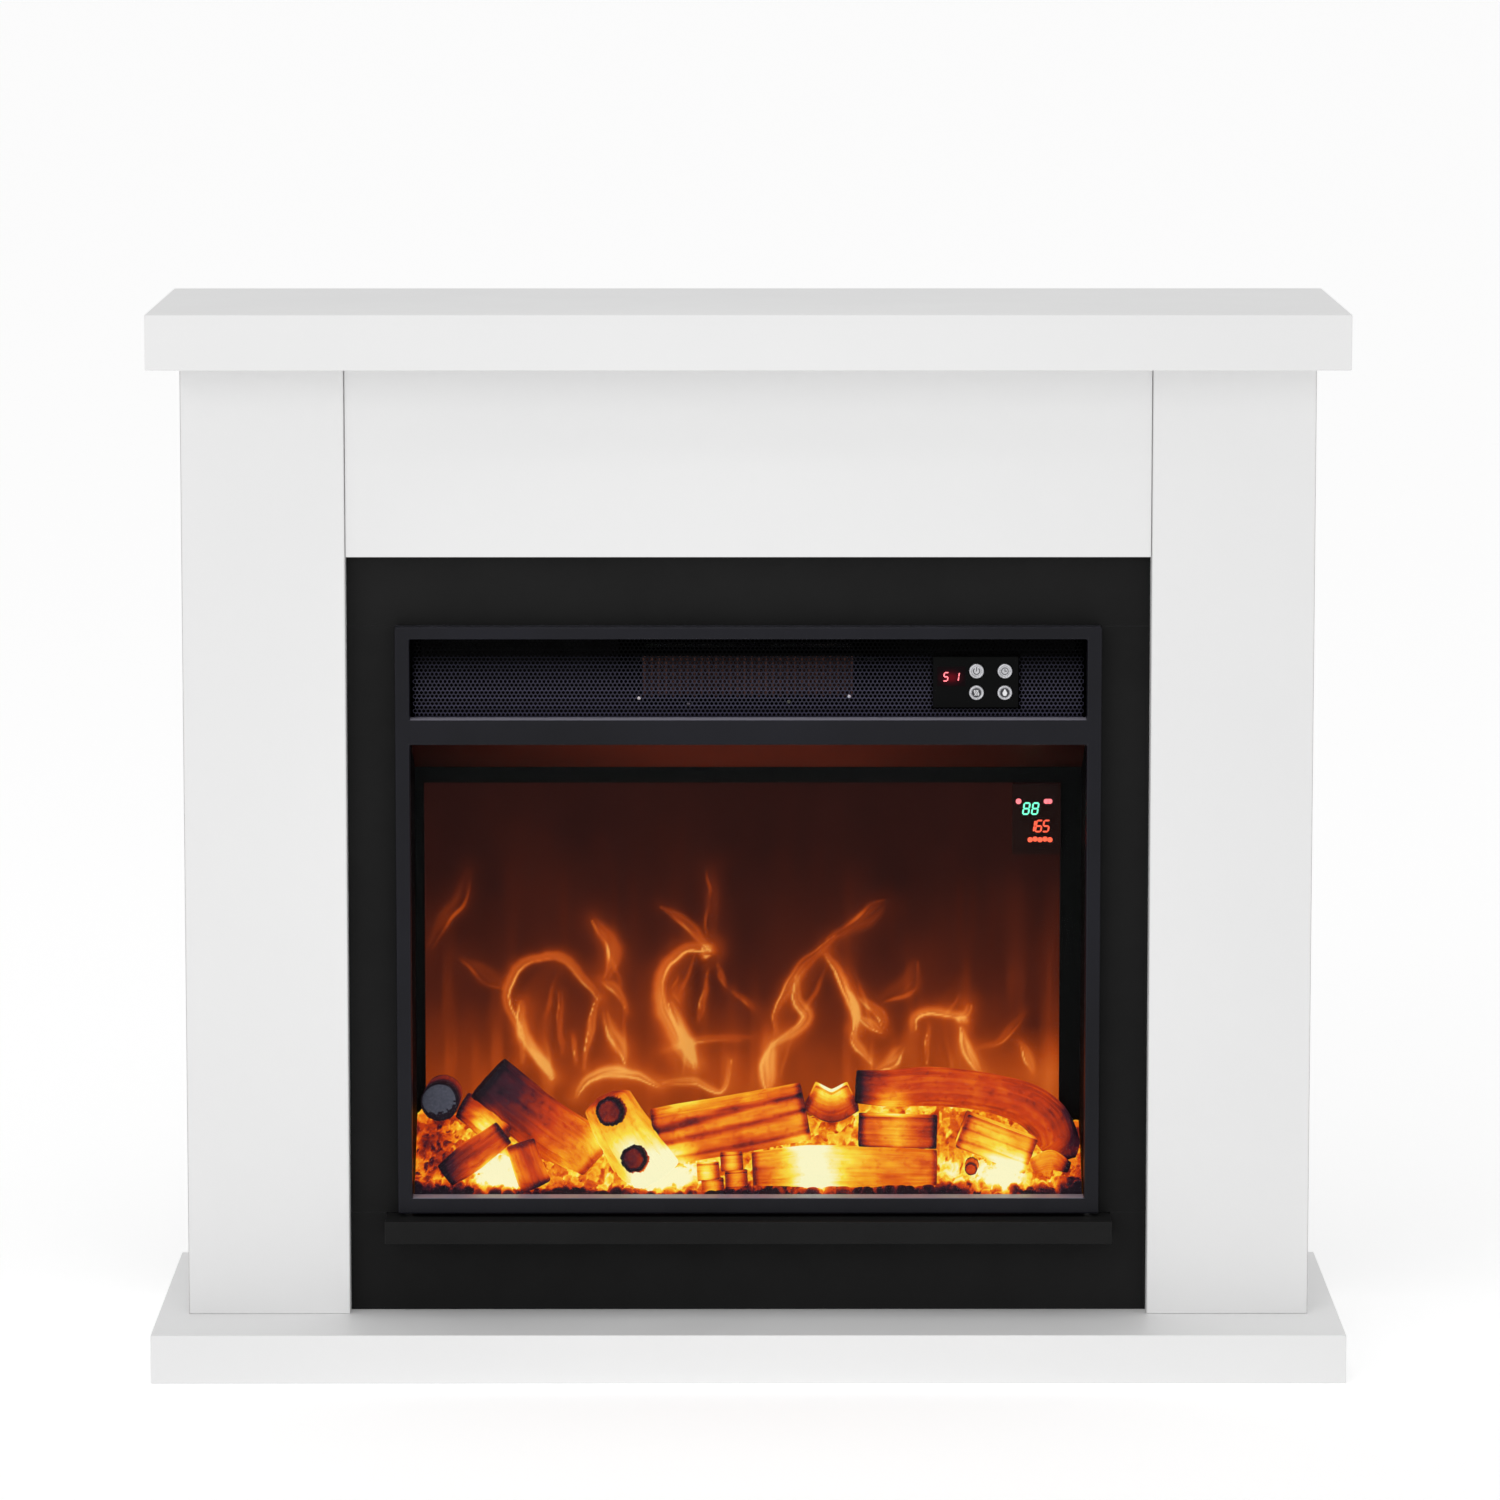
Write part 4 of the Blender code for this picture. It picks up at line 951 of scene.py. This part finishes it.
def build_logs():
    split = split_section(((-1.0, -0.95), (0.8, -1.05), (1.0, 0.6), (0.0, 1.1), (-0.95, 0.85)))
    block = split_section(((-0.95, -1.0), (0.9, -1.0), (1.0, 0.9), (-0.9, 1.0)))
    log("charred_log", [(-0.2215, -0.010, 0.2290), (-0.1959, -0.011, 0.2059), (-0.1704, -0.012, 0.1863),
        (-0.1448, -0.016, 0.1706), (-0.1300, -0.020, 0.1588)], [0.0215, 0.0230, 0.0235, 0.0230, 0.0200],
        [0.00, 0.20, 0.40, 0.52, 0.64], rough=0.10, seed=3, stands_for=["log_charred"])
    log("round_end_log", [(-0.2611, -0.0450, 0.2155), (-0.2600, 0.0080, 0.2130)], [0.0162, 0.0158],
        [0.12, 0.30], rough=0.04, seed=5, stands_for=["log_round_end"])
    log("bark_piece", [(-0.2430, -0.010, 0.2060), (-0.2240, -0.014, 0.1960), (-0.2060, -0.022, 0.1820)],
        [0.0110, 0.0150, 0.0120], [0.34, 0.38, 0.48], rough=0.16, seed=7)
    log("brown_stick", [(-0.2080, -0.040, 0.1880), (-0.2340, -0.043, 0.1690), (-0.2560, -0.045, 0.1520)],
        [0.0110, 0.0130, 0.0110], [0.30, 0.26, 0.28], rough=0.15, seed=8, stands_for=["log_stick"])
    log("short_stub", [(-0.1930, -0.043, 0.1790), (-0.1875, -0.045, 0.1620), (-0.1800, -0.046, 0.1440)],
        [0.0125, 0.0130, 0.0135], [0.44, 0.36, 0.40], rough=0.08, seed=11)
    log("knotted_branch", [(-0.1215, -0.026, 0.2170), (-0.1102, -0.029, 0.1946), (-0.0975, -0.029, 0.1740),
        (-0.0800, -0.026, 0.1450)], [0.0200, 0.0225, 0.0240, 0.0275], [0.58, 0.62, 0.66, 0.72],
        rough=0.16, seed=13, stands_for=["log_branch"], rounded=0.006)
    log("split_log", [(-0.0790, -0.014, 0.1795), (-0.0150, -0.013, 0.1900), (0.0480, -0.012, 0.2025)],
        [0.0225, 0.0225, 0.0225], [0.48, 0.60, 0.54], section=split, rough=0.07, seed=17,
        stands_for=["log_split"],
        stripes=((0.30, 0.85, 0.12, 0.30), (-0.20, 0.10, 0.14, 0.26), (-0.75, -0.60, 0.14, 0.34)))
    log("curved_log", [(0.0925, -0.008, 0.2214), (0.1211, -0.008, 0.2199), (0.1534, -0.008, 0.2214),
        (0.1858, -0.008, 0.2194), (0.2140, -0.008, 0.2144), (0.2382, -0.009, 0.2063),
        (0.2550, -0.011, 0.1931), (0.2635, -0.013, 0.1770), (0.2655, -0.015, 0.1609)],
        [0.0140, 0.0155, 0.0165, 0.0160, 0.0165, 0.0180, 0.0190, 0.0185, 0.0165],
        [0.10, 0.38, 0.40, 0.40, 0.40, 0.37, 0.35, 0.40, 0.44], rough=0.06, seed=23,
        stands_for=["log_curved"])
    log("small_split", [(0.0945, -0.036, 0.1905), (0.1590, -0.036, 0.1885)], [0.0128, 0.0132],
        [0.40, 0.66, 0.30], section=block, rough=0.05, seed=29, stands_for=["log_small"])
    log("tilted_split", [(0.1817, -0.038, 0.1916), (0.2388, -0.038, 0.1693)], [0.0150, 0.0152],
        [0.60, 0.72, 0.58], section=block, rough=0.07, seed=31, stands_for=["log_tilted"],
        stripes=((0.2, 0.3, 0.12, 0.16), (-0.5, -0.4, 0.12, 0.18)))
    log("front_log", [(0.0045, -0.0420, 0.1568), (0.0500, -0.0415, 0.1590), (0.1050, -0.0415, 0.1585),
        (0.1590, -0.0420, 0.1580)], [0.0145, 0.0180, 0.0175, 0.0150], [0.50, 0.70, 0.62, 0.48],
        rough=0.06, seed=37, stands_for=["log_front"])
    log("back_wedge", [(0.0535, -0.004, 0.2130), (0.0710, -0.004, 0.2050), (0.0885, -0.004, 0.2130)],
        [0.0120, 0.0130, 0.0120], [0.62, 0.46, 0.62], section=block, rough=0.16, seed=41,
        stripes=((0.8, 0.8, 0.6, -0.20), (-0.7, -0.7, 0.5, 0.16)))
    log("corner_tip", [(0.2410, -0.046, 0.1600), (0.2560, -0.045, 0.1650), (0.2710, -0.044, 0.1590)],
        [0.0065, 0.0088, 0.0050], [0.52, 0.60, 0.46], rough=0.12, seed=43)
    bricks = (
        (-0.0100, 0.1490, 0.54),
        (-0.0140, 0.1640, 0.58),
        (-0.0340, 0.1560, 0.60),
        (-0.0300, 0.1420, 0.50),
    )
    for i, (x, z, warm) in enumerate(bricks):
        log(f"coal_block_{i}", [(x - 0.0085, -0.046, z), (x + 0.0085, -0.046, z + 0.001)], [0.0068, 0.0066],
            [warm, warm + 0.1, warm], section=block, rough=0.22, seed=47 + i)
    knots = (
        ("upper", -0.1176, -0.0520, 0.2085, 0.0118, 0.26),
        ("lower", -0.0971, -0.0575, 0.1690, 0.0108, -0.10),
    )
    for i, (name, x, y, z, r, face) in enumerate(knots):
        path = [(x + 0.004, y + 0.020, z - 0.003), (x, y, z)]
        log(f"{name}_knot", path, [r * 1.35, r], [0.46, face - 0.10], rough=0.16, seed=51 + i, face=face)
    log("dark_knot", [(0.1900, -0.036, 0.1600), (0.1885, -0.0530, 0.1590)], [0.0060, 0.0052], [0.30, 0.24],
        rough=0.15, seed=57, face=0.20)
    build_cut_face()


def build_cut_face():
    """The grey cut face of the round-ended log, with shallow growth rings."""
    x, y, z, radius = -0.2611, -0.0466, 0.2155, 0.0150
    shape = bmesh.new()
    profile = [(0, y)]
    rings = 9
    for i in range(1, rings):
        share = i / rings
        profile.append((radius * share, y + 0.0006 * share**2 + 0.0002 * (i % 2)))
    profile += [(radius, y + 0.0012), (radius * 0.98, y + 0.0024), (0, y + 0.0024)]
    turned(shape, profile, (x, z), 48)
    piece("log_cut_face", from_bmesh("log_cut_face", shape), "slate_end")


# The bed's back edge from left to right: (x, height).
BED_BACK = (
    (-0.283, 0.192),
    (-0.245, 0.200),
    (-0.200, 0.192),
    (-0.150, 0.176),
    (-0.080, 0.182),
    (0.000, 0.186),
    (0.060, 0.196),
    (0.110, 0.204),
    (0.200, 0.204),
    (0.245, 0.190),
    (0.283, 0.188),
)
BED_FRONT = 0.1335  # height of the bed's front edge
# How warm the bed glows from its ashy front edge to its back: (depth, warmth).
BED_WARMTH = ((-0.060, -0.04), (-0.0540, 0.08), (-0.0500, 0.30), (-0.046, 0.72), (0.010, 0.76))


def bed_surface(x, y):
    """The ember bed's height, and how much each grain of coal on it darkens its place."""
    back = np.interp(x, *zip(*BED_BACK))
    depth_share = np.interp(y, (-0.0602, -0.0540, -0.0400, -0.0100, 0.0110), (0.0, 0.06, 0.26, 0.74, 1.0))
    sway = layered_noise(np.stack([x * 40, y * 40, x * 0], 1), 61) - 0.5
    rise = BED_FRONT + (back - BED_FRONT) * depth_share + 0.016 * sway * np.clip(depth_share * 3, 0, 1)
    grains, shade = np.zeros(len(x)), np.zeros(len(x))
    draw = np.random.default_rng(7)
    for size, count in ((0.0060, 420), (0.0042, 1200), (0.0027, 2400)):
        for _ in range(count):
            cx, cy = draw.uniform(-0.283, 0.283), draw.uniform(-0.060, 0.011)
            r, tone, flat = size * draw.uniform(0.6, 1.2), draw.uniform(-0.25, 0.25), draw.uniform(0.5, 0.8)
            near = np.flatnonzero((np.abs(x - cx) < r) & (np.abs(y - cy) < r))
            bulge = flat * np.sqrt(np.clip(r * r - (x[near] - cx) ** 2 - (y[near] - cy) ** 2, 0, None))
            over = bulge > grains[near]
            grains[near[over]] = bulge[over]
            shade[near[over]] = 0.20 * bulge[over] / (flat * r) - 0.8 * tone
    return rise + grains, shade


def build_ember_heap():
    """The bed of coals: a fine surface of grains, closed down to its foot."""
    lo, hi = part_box("ember_bed")
    step, depth = 0.0011, 0.0716
    xs = np.linspace(-hi[0], hi[0], int(2 * hi[0] / step))
    ys = np.linspace(lo[1], hi[1], int(depth / step))
    gx, gy = np.meshgrid(xs, ys)
    heights, shade = bed_surface(gx.ravel(), gy.ravel())
    rows = np.dstack([gx, gy, heights.reshape(gx.shape)])
    mesh = closed_sheet("ember_heap", rows, lambda co: (co.x, co.y, lo[2]))
    places = vertex_places(mesh)
    warmth = np.interp(places[:, 1], *zip(*BED_WARMTH))
    warmth[: len(shade)] -= shade
    set_point_data(mesh, "warmth", heat_at(places, 0, 71) + warmth)
    set_point_data(mesh, "grain", places, "FLOAT_VECTOR")
    piece("ember_heap", mesh, "ember_resin", stands_for=["ember_bed"])


# ---- outlet mesh, controls and small fittings ----------------------------------------------
def build_outlet_mesh():
    """The perforated outlet plate: a honeycomb of hexagonal holes, with plain margins."""
    lo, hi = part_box("outlet_grille")
    panel_lo, panel_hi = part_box("control_panel")
    pitch, wall = 0.0036, 0.0010
    row_rise = pitch * math.sqrt(3) / 2
    hole = (pitch - wall) / math.sqrt(3)
    shape = bmesh.new()
    margin = 0.0045
    x_count = int((hi[0] - lo[0] - 2 * margin) / pitch)
    z_count = int((hi[2] - lo[2] - 2 * margin) / row_rise)
    x_start = (lo[0] + hi[0]) / 2 - (x_count - 1) / 2 * pitch
    z_start = (lo[2] + hi[2]) / 2 - (z_count - 1) / 2 * row_rise
    cell = pitch / math.sqrt(3)
    found = {}

    def corner(x, z):
        key = (round(x * 2e4), round(z * 2e4))
        for dx in (-1, 0, 1):
            for dz in (-1, 0, 1):
                if (key[0] + dx, key[1] + dz) in found:
                    return found[key[0] + dx, key[1] + dz]
        found[key] = shape.verts.new((x, lo[1], z))
        return found[key]

    for row in range(z_count):
        for column in range(x_count - row % 2):
            x = x_start + (column + 0.5 * (row % 2)) * pitch
            z = z_start + row * row_rise
            near_x = panel_lo[0] - 0.001 < x < panel_hi[0] + 0.001
            if near_x and panel_lo[2] - 0.001 < z < panel_hi[2] + 0.001:
                continue
            turn = [math.radians(60 * i + 30) for i in range(6)]
            outer = [corner(x + cell * math.cos(a), z + cell * math.sin(a)) for a in turn]
            inner = [shape.verts.new((x + hole * math.cos(a), lo[1], z + hole * math.sin(a))) for a in turn]
            for i in range(6):
                j = (i + 1) % 6
                shape.faces.new((outer[i], outer[j], inner[j], inner[i]))
    made = shaped("outlet_mesh", shape, "outlet_paint", ROOT, ["outlet_grille"])
    thick = made.modifiers.new("thickness", "SOLIDIFY")
    thick.thickness = hi[1] - lo[1]
    thick.offset = -1 if made.data.polygons[0].normal.y < 0 else 1


def bar_piece(shape, corners, y, depth):
    """A flat-fronted bar with these front corners (x, z), running back from y."""
    front = [shape.verts.new((x, y, z)) for x, z in corners]
    back = [shape.verts.new((x, y + depth, z)) for x, z in corners]
    shape.faces.new(front)
    shape.faces.new(back[::-1])
    for i in range(len(corners)):
        j = (i + 1) % len(corners)
        shape.faces.new((front[i], back[i], back[j], front[j]))


def segments(shape, left, foot, height, lit_ones, y):
    """One seven-segment figure, slanted to the right; lit_ones names its lit bars."""
    wide, bar, lean = height * 0.50, height * 0.14, 0.16
    half = height / 2
    spans = {
        "top": ((0, height), (wide, height)),
        "middle": ((0, half), (wide, half)),
        "bottom": ((0, 0), (wide, 0)),
        "upper_left": ((0, half), (0, height)),
        "upper_right": ((wide, half), (wide, height)),
        "lower_left": ((0, 0), (0, half)),
        "lower_right": ((wide, 0), (wide, half)),
    }
    for name in lit_ones:
        (x0, z0), (x1, z1) = spans[name]
        run = Vector((x1 - x0, z1 - z0)).normalized()
        side = Vector((-run.y, run.x)) * bar / 2
        a, b = Vector((x0, z0)) + run * bar * 0.6, Vector((x1, z1)) - run * bar * 0.6
        outline = [a - side, b - side, b + run * bar / 2, b + side, a + side, a - run * bar / 2]
        corners = [(left + p.x + lean * p.y, foot + p.y) for p in outline]
        bar_piece(shape, corners, y, GLYPH_DEPTH)


EIGHT = ("top", "middle", "bottom", "upper_left", "upper_right", "lower_left", "lower_right")
ONE = ("upper_right", "lower_right")
SIX = ("top", "middle", "bottom", "upper_left", "lower_left", "lower_right")
FIVE = ("top", "middle", "bottom", "upper_left", "lower_right")


def dot(shape, x, z, y, r):
    turn = np.linspace(0, 2 * np.pi, 12, endpoint=False)
    corners = [(x + r * math.cos(a), z + r * math.sin(a)) for a in turn]
    bar_piece(shape, corners, y, GLYPH_DEPTH)


def build_displays():
    """The lit figures on the control panel and on the small display behind the glass."""
    panel_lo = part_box("control_panel")[0]
    y = panel_lo[1]
    foot = (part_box("button_heat")[1][2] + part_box("button_power")[0][2]) / 2 + 0.0008
    window = bmesh.new()
    left, right = panel_lo[0] + 0.0035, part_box("button_heat")[0][0] - 0.0030
    low, high = foot - 0.0045, foot + 0.0120
    bar_piece(window, [(left, low), (right, low), (right, high), (left, high)], y - HAIR, 0.0002)
    shaped("figure_window", window, "red_lens")
    shape = bmesh.new()
    for left, figure in ((0.0085, FIVE), (0.0175, ONE)):
        segments(shape, panel_lo[0] + left, foot, 0.0070, figure, y - GLYPH_DEPTH)
    shaped("panel_figures", shape, "red_segment")
    lo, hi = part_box("display_module")
    y = lo[1] - 0.0003
    green = bmesh.new()
    for left in (0.0085, 0.0160):
        segments(green, lo[0] + left, hi[2] - 0.0255, 0.0095, EIGHT, y)
    shaped("green_figures", green, "green_segment")
    red = bmesh.new()
    for along, r in ((0.0050, 0.0024), (0.0285, 0.0022), (0.0315, 0.0022)):
        dot(red, lo[0] + along, hi[2] - 0.0145, y, r)
    shaped("red_lamps", red, "red_segment")
    orange = bmesh.new()
    for i, figure in enumerate((ONE, SIX, FIVE)):
        segments(orange, lo[0] + 0.0130 + 0.0062 * i, hi[2] - 0.0405, 0.0095, figure, y)
    for i in range(5):
        dot(orange, lo[0] + 0.0150 + 0.0042 * i, hi[2] - 0.0475 + 0.0006 * (i % 2), y, 0.0022)
    shaped("orange_figures", orange, "orange_segment")


def turned(shape, profile, centre, sides=40):
    """A piece turned about a line along Y: profile is (radius, y) from the front's middle to the back's."""
    x, z = centre
    turn = [2 * math.pi * i / sides for i in range(sides)]
    rings = []
    for r, y in profile:
        if r < 1e-6:
            rings.append([shape.verts.new((x, y, z))])
        else:
            rings.append([shape.verts.new((x + r * math.cos(a), y, z + r * math.sin(a))) for a in turn])
    for low, high in zip(rings, rings[1:]):
        for i in range(sides):
            j = (i + 1) % sides
            if len(low) == 1:
                shape.faces.new((low[0], high[i], high[j]))
            elif len(high) == 1:
                shape.faces.new((low[j], low[i], high[0]))
            else:
                shape.faces.new((low[i], low[j], high[j], high[i]))


def ring_mark(shape, centre, radius, width, y, start=0, end=360, steps=24):
    for i in range(steps):
        a, b = (math.radians(start + (end - start) * (i + k) / steps) for k in (0, 1))
        corners = []
        for angle, r in ((a, radius), (b, radius), (b, radius - width), (a, radius - width)):
            corners.append((centre[0] + r * math.cos(angle), centre[1] + r * math.sin(angle)))
        bar_piece(shape, corners, y, SYMBOL_DEPTH)


def button_symbol(shape, kind, x, z, y):
    """One button's symbol: a power ring, a clock, a warm-air sign or a flame."""
    tall = SYMBOL_DEPTH
    if kind == "power":
        ring_mark(shape, (x, z), 0.0030, 0.0007, y, 125, 415)
        bar_piece(shape, rectangle(x, z + 0.0016, 0.00035, 0.0018), y, tall)
    elif kind == "timer":
        ring_mark(shape, (x, z), 0.0031, 0.0006, y)
        bar_piece(shape, rectangle(x, z + 0.0008, 0.0003, 0.0012), y, tall)
        bar_piece(shape, rectangle(x + 0.0008, z, 0.0010, 0.0003), y, tall)
    elif kind == "heat":
        for shift in (-0.0014, 0.0, 0.0014):
            wave = [(shift + 0.0005 * math.sin(6 * t), 0.0048 * (t - 0.5)) for t in np.linspace(0, 1, 8)]
            for (ax, az), (bx, bz) in zip(wave, wave[1:]):
                half = 0.00038
                corners = [(ax - half, az), (ax + half, az), (bx + half, bz), (bx - half, bz)]
                bar_piece(shape, [(x + u, z + v) for u, v in corners], y, tall)
    else:
        drop = [(0.0, 0.0034), (0.0011, 0.0016), (0.0020, -0.0002), (0.0013, -0.0022), (0.0, -0.0027)]
        outline = drop + [(-u, v) for u, v in drop[-2:0:-1]]
        bar_piece(shape, [(x + u, z + v) for u, v in outline[::-1]], y, tall)


def rectangle(x, z, half_x, half_z):
    left, right, low, high = x - half_x, x + half_x, z - half_z, z + half_z
    return [(left, low), (right, low), (right, high), (left, high)]


def build_buttons():
    """Each button: a cap with a rolled rim and a sunk face, and its symbol, all on its own body."""
    for kind in ("power", "timer", "heat", "flame"):
        name = "button_" + kind
        lo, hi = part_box(name)
        x, z = (lo[0] + hi[0]) / 2, (lo[2] + hi[2]) / 2
        r, front, back = (hi[0] - lo[0]) / 2, lo[1], hi[1]
        cap = bmesh.new()
        profile = [
            (0, front + 0.0007),
            (r * 0.66, front + 0.0007),
            (r * 0.69, front + 0.0004),
            (r * 0.74, front + 0.0001),
            (r * 0.84, front),
            (r * 0.93, front + 0.0001),
            (r * 0.98, front + 0.0004),
            (r, front + 0.0009),
            (r, back),
            (0, back),
        ]
        turned(cap, profile, (x, z), 56)
        body = name + "_body"
        shaped(name + "_cap", cap, "button_chrome", body, [name], True)
        dark_face = kind in ("heat", "flame")
        if dark_face:
            face = bmesh.new()
            turned(face, [(0, front + 0.0005), (r * 0.62, front + 0.0005), (r * 0.63, front + 0.0009),
                (0, front + 0.0009)], (x, z), 40)
            shaped(name + "_face", face, "symbol_dark", body, smooth=True)
        mark = bmesh.new()
        button_symbol(mark, kind, x, z, front + (0.0003 if dark_face else 0.0005))
        ink = "symbol_white" if dark_face else "symbol_dark"
        shaped(name + "_symbol", mark, ink, body)


def screw(name, x, z, y, r, finish="galvanised_steel", facing=-1):
    """A pan-head screw with a cross recess; facing is -1 for the front and 1 for the back."""
    shape = bmesh.new()
    tall = r * 0.55
    socket = y + facing * tall * 0.75
    profile = [(0, socket), (r * 0.30, socket), (r * 0.34, y + facing * tall)]
    steps = 5
    for i in range(1, steps):
        angle = math.pi / 2 * i / steps
        profile.append((r * (0.34 + 0.66 * math.sin(angle)), y + facing * tall * math.cos(angle) ** 0.7))
    profile += [(r, y), (0, y)]
    turned(shape, profile, (x, z), 24)
    for angle in (0.4, 0.4 + math.pi / 2):
        run = Vector((math.cos(angle), math.sin(angle))) * r * 0.5
        side = Vector((-run.y, run.x)).normalized() * r * 0.09
        offsets = (run + side, side - run, -run - side, run - side)
        corners = [tuple(Vector((x, z)) + offset) for offset in offsets]
        bar_piece(shape, corners, y + facing * tall * 1.02, -facing * tall * 0.3)
    shaped(name, shape, finish, smooth=True)


def build_screws():
    grille_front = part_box("outlet_grille")[0][1]
    # Two outlet screws take the darker copy of the same zinc: painted shade.
    bright, shaded_copy = "galvanised_steel", "painted_shade_zinc"
    outlet = (
        (-0.0915, 0.5630, bright),
        (0.0845, 0.5645, bright),
        (-0.0500, 0.5580, shaded_copy),
        (0.0340, 0.5600, shaded_copy),
    )
    for i, (x, z, finish) in enumerate(outlet):
        screw(f"outlet_screw_{i}", x, z, grille_front - HAIR, 0.0016, finish)
    lo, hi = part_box("rear_cover")
    inset = 0.009
    count = 0
    for x in (lo[0] + inset, 0.0, hi[0] - inset):
        for z in (lo[2] + inset, (lo[2] + hi[2]) / 2, hi[2] - inset):
            if x == 0.0 and lo[2] + inset < z < hi[2] - inset:
                continue
            screw(f"cover_screw_{count}", x, z, hi[1] + HAIR, 0.0034, bright, 1)
            count += 1


def build_intake_filter():
    """The pleated dust filter behind the rear cover's upper slots."""
    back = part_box("rear_cover")[0][1] - 0.0018
    front, half, low, high = back - 0.0060, 0.112, 0.545, 0.611
    pitch = 0.0035
    folds = int(2 * half / pitch)
    outline = [(-half + pitch * i, front + 0.0022 * (i % 2)) for i in range(folds + 1)]
    outline += [(x, back - 0.0012 * (i % 2)) for i, (x, _) in enumerate(reversed(outline))]
    shape = bmesh.new()
    lower = [shape.verts.new((x, y, low)) for x, y in outline]
    upper = [shape.verts.new((x, y, high)) for x, y in outline]
    for i in range(len(outline)):
        j = (i + 1) % len(outline)
        shape.faces.new((lower[i], lower[j], upper[j], upper[i]))
    shape.faces.new(lower)
    shape.faces.new(upper)
    shaped("intake_filter", shape, "filter_foam")


def build_label():
    """A plain rating label on the rear cover, with no words."""
    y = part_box("rear_cover")[1][1] + HAIR
    shape = bmesh.new()
    bar_piece(shape, [(0.060, 0.375), (0.150, 0.375), (0.150, 0.430), (0.060, 0.430)], y, 0.0003)
    bmesh.ops.bevel(shape, geom=list(shape.edges), offset=0.0001, segments=1, affect="EDGES")
    shaped("rating_label", shape, "label_foil")


add_camera()
add_studio()
paint_cad()
build_flame_picture()
build_ember_heap()
build_logs()
build_outlet_mesh()
build_intake_filter()
build_displays()
build_buttons()
build_screws()
build_label()
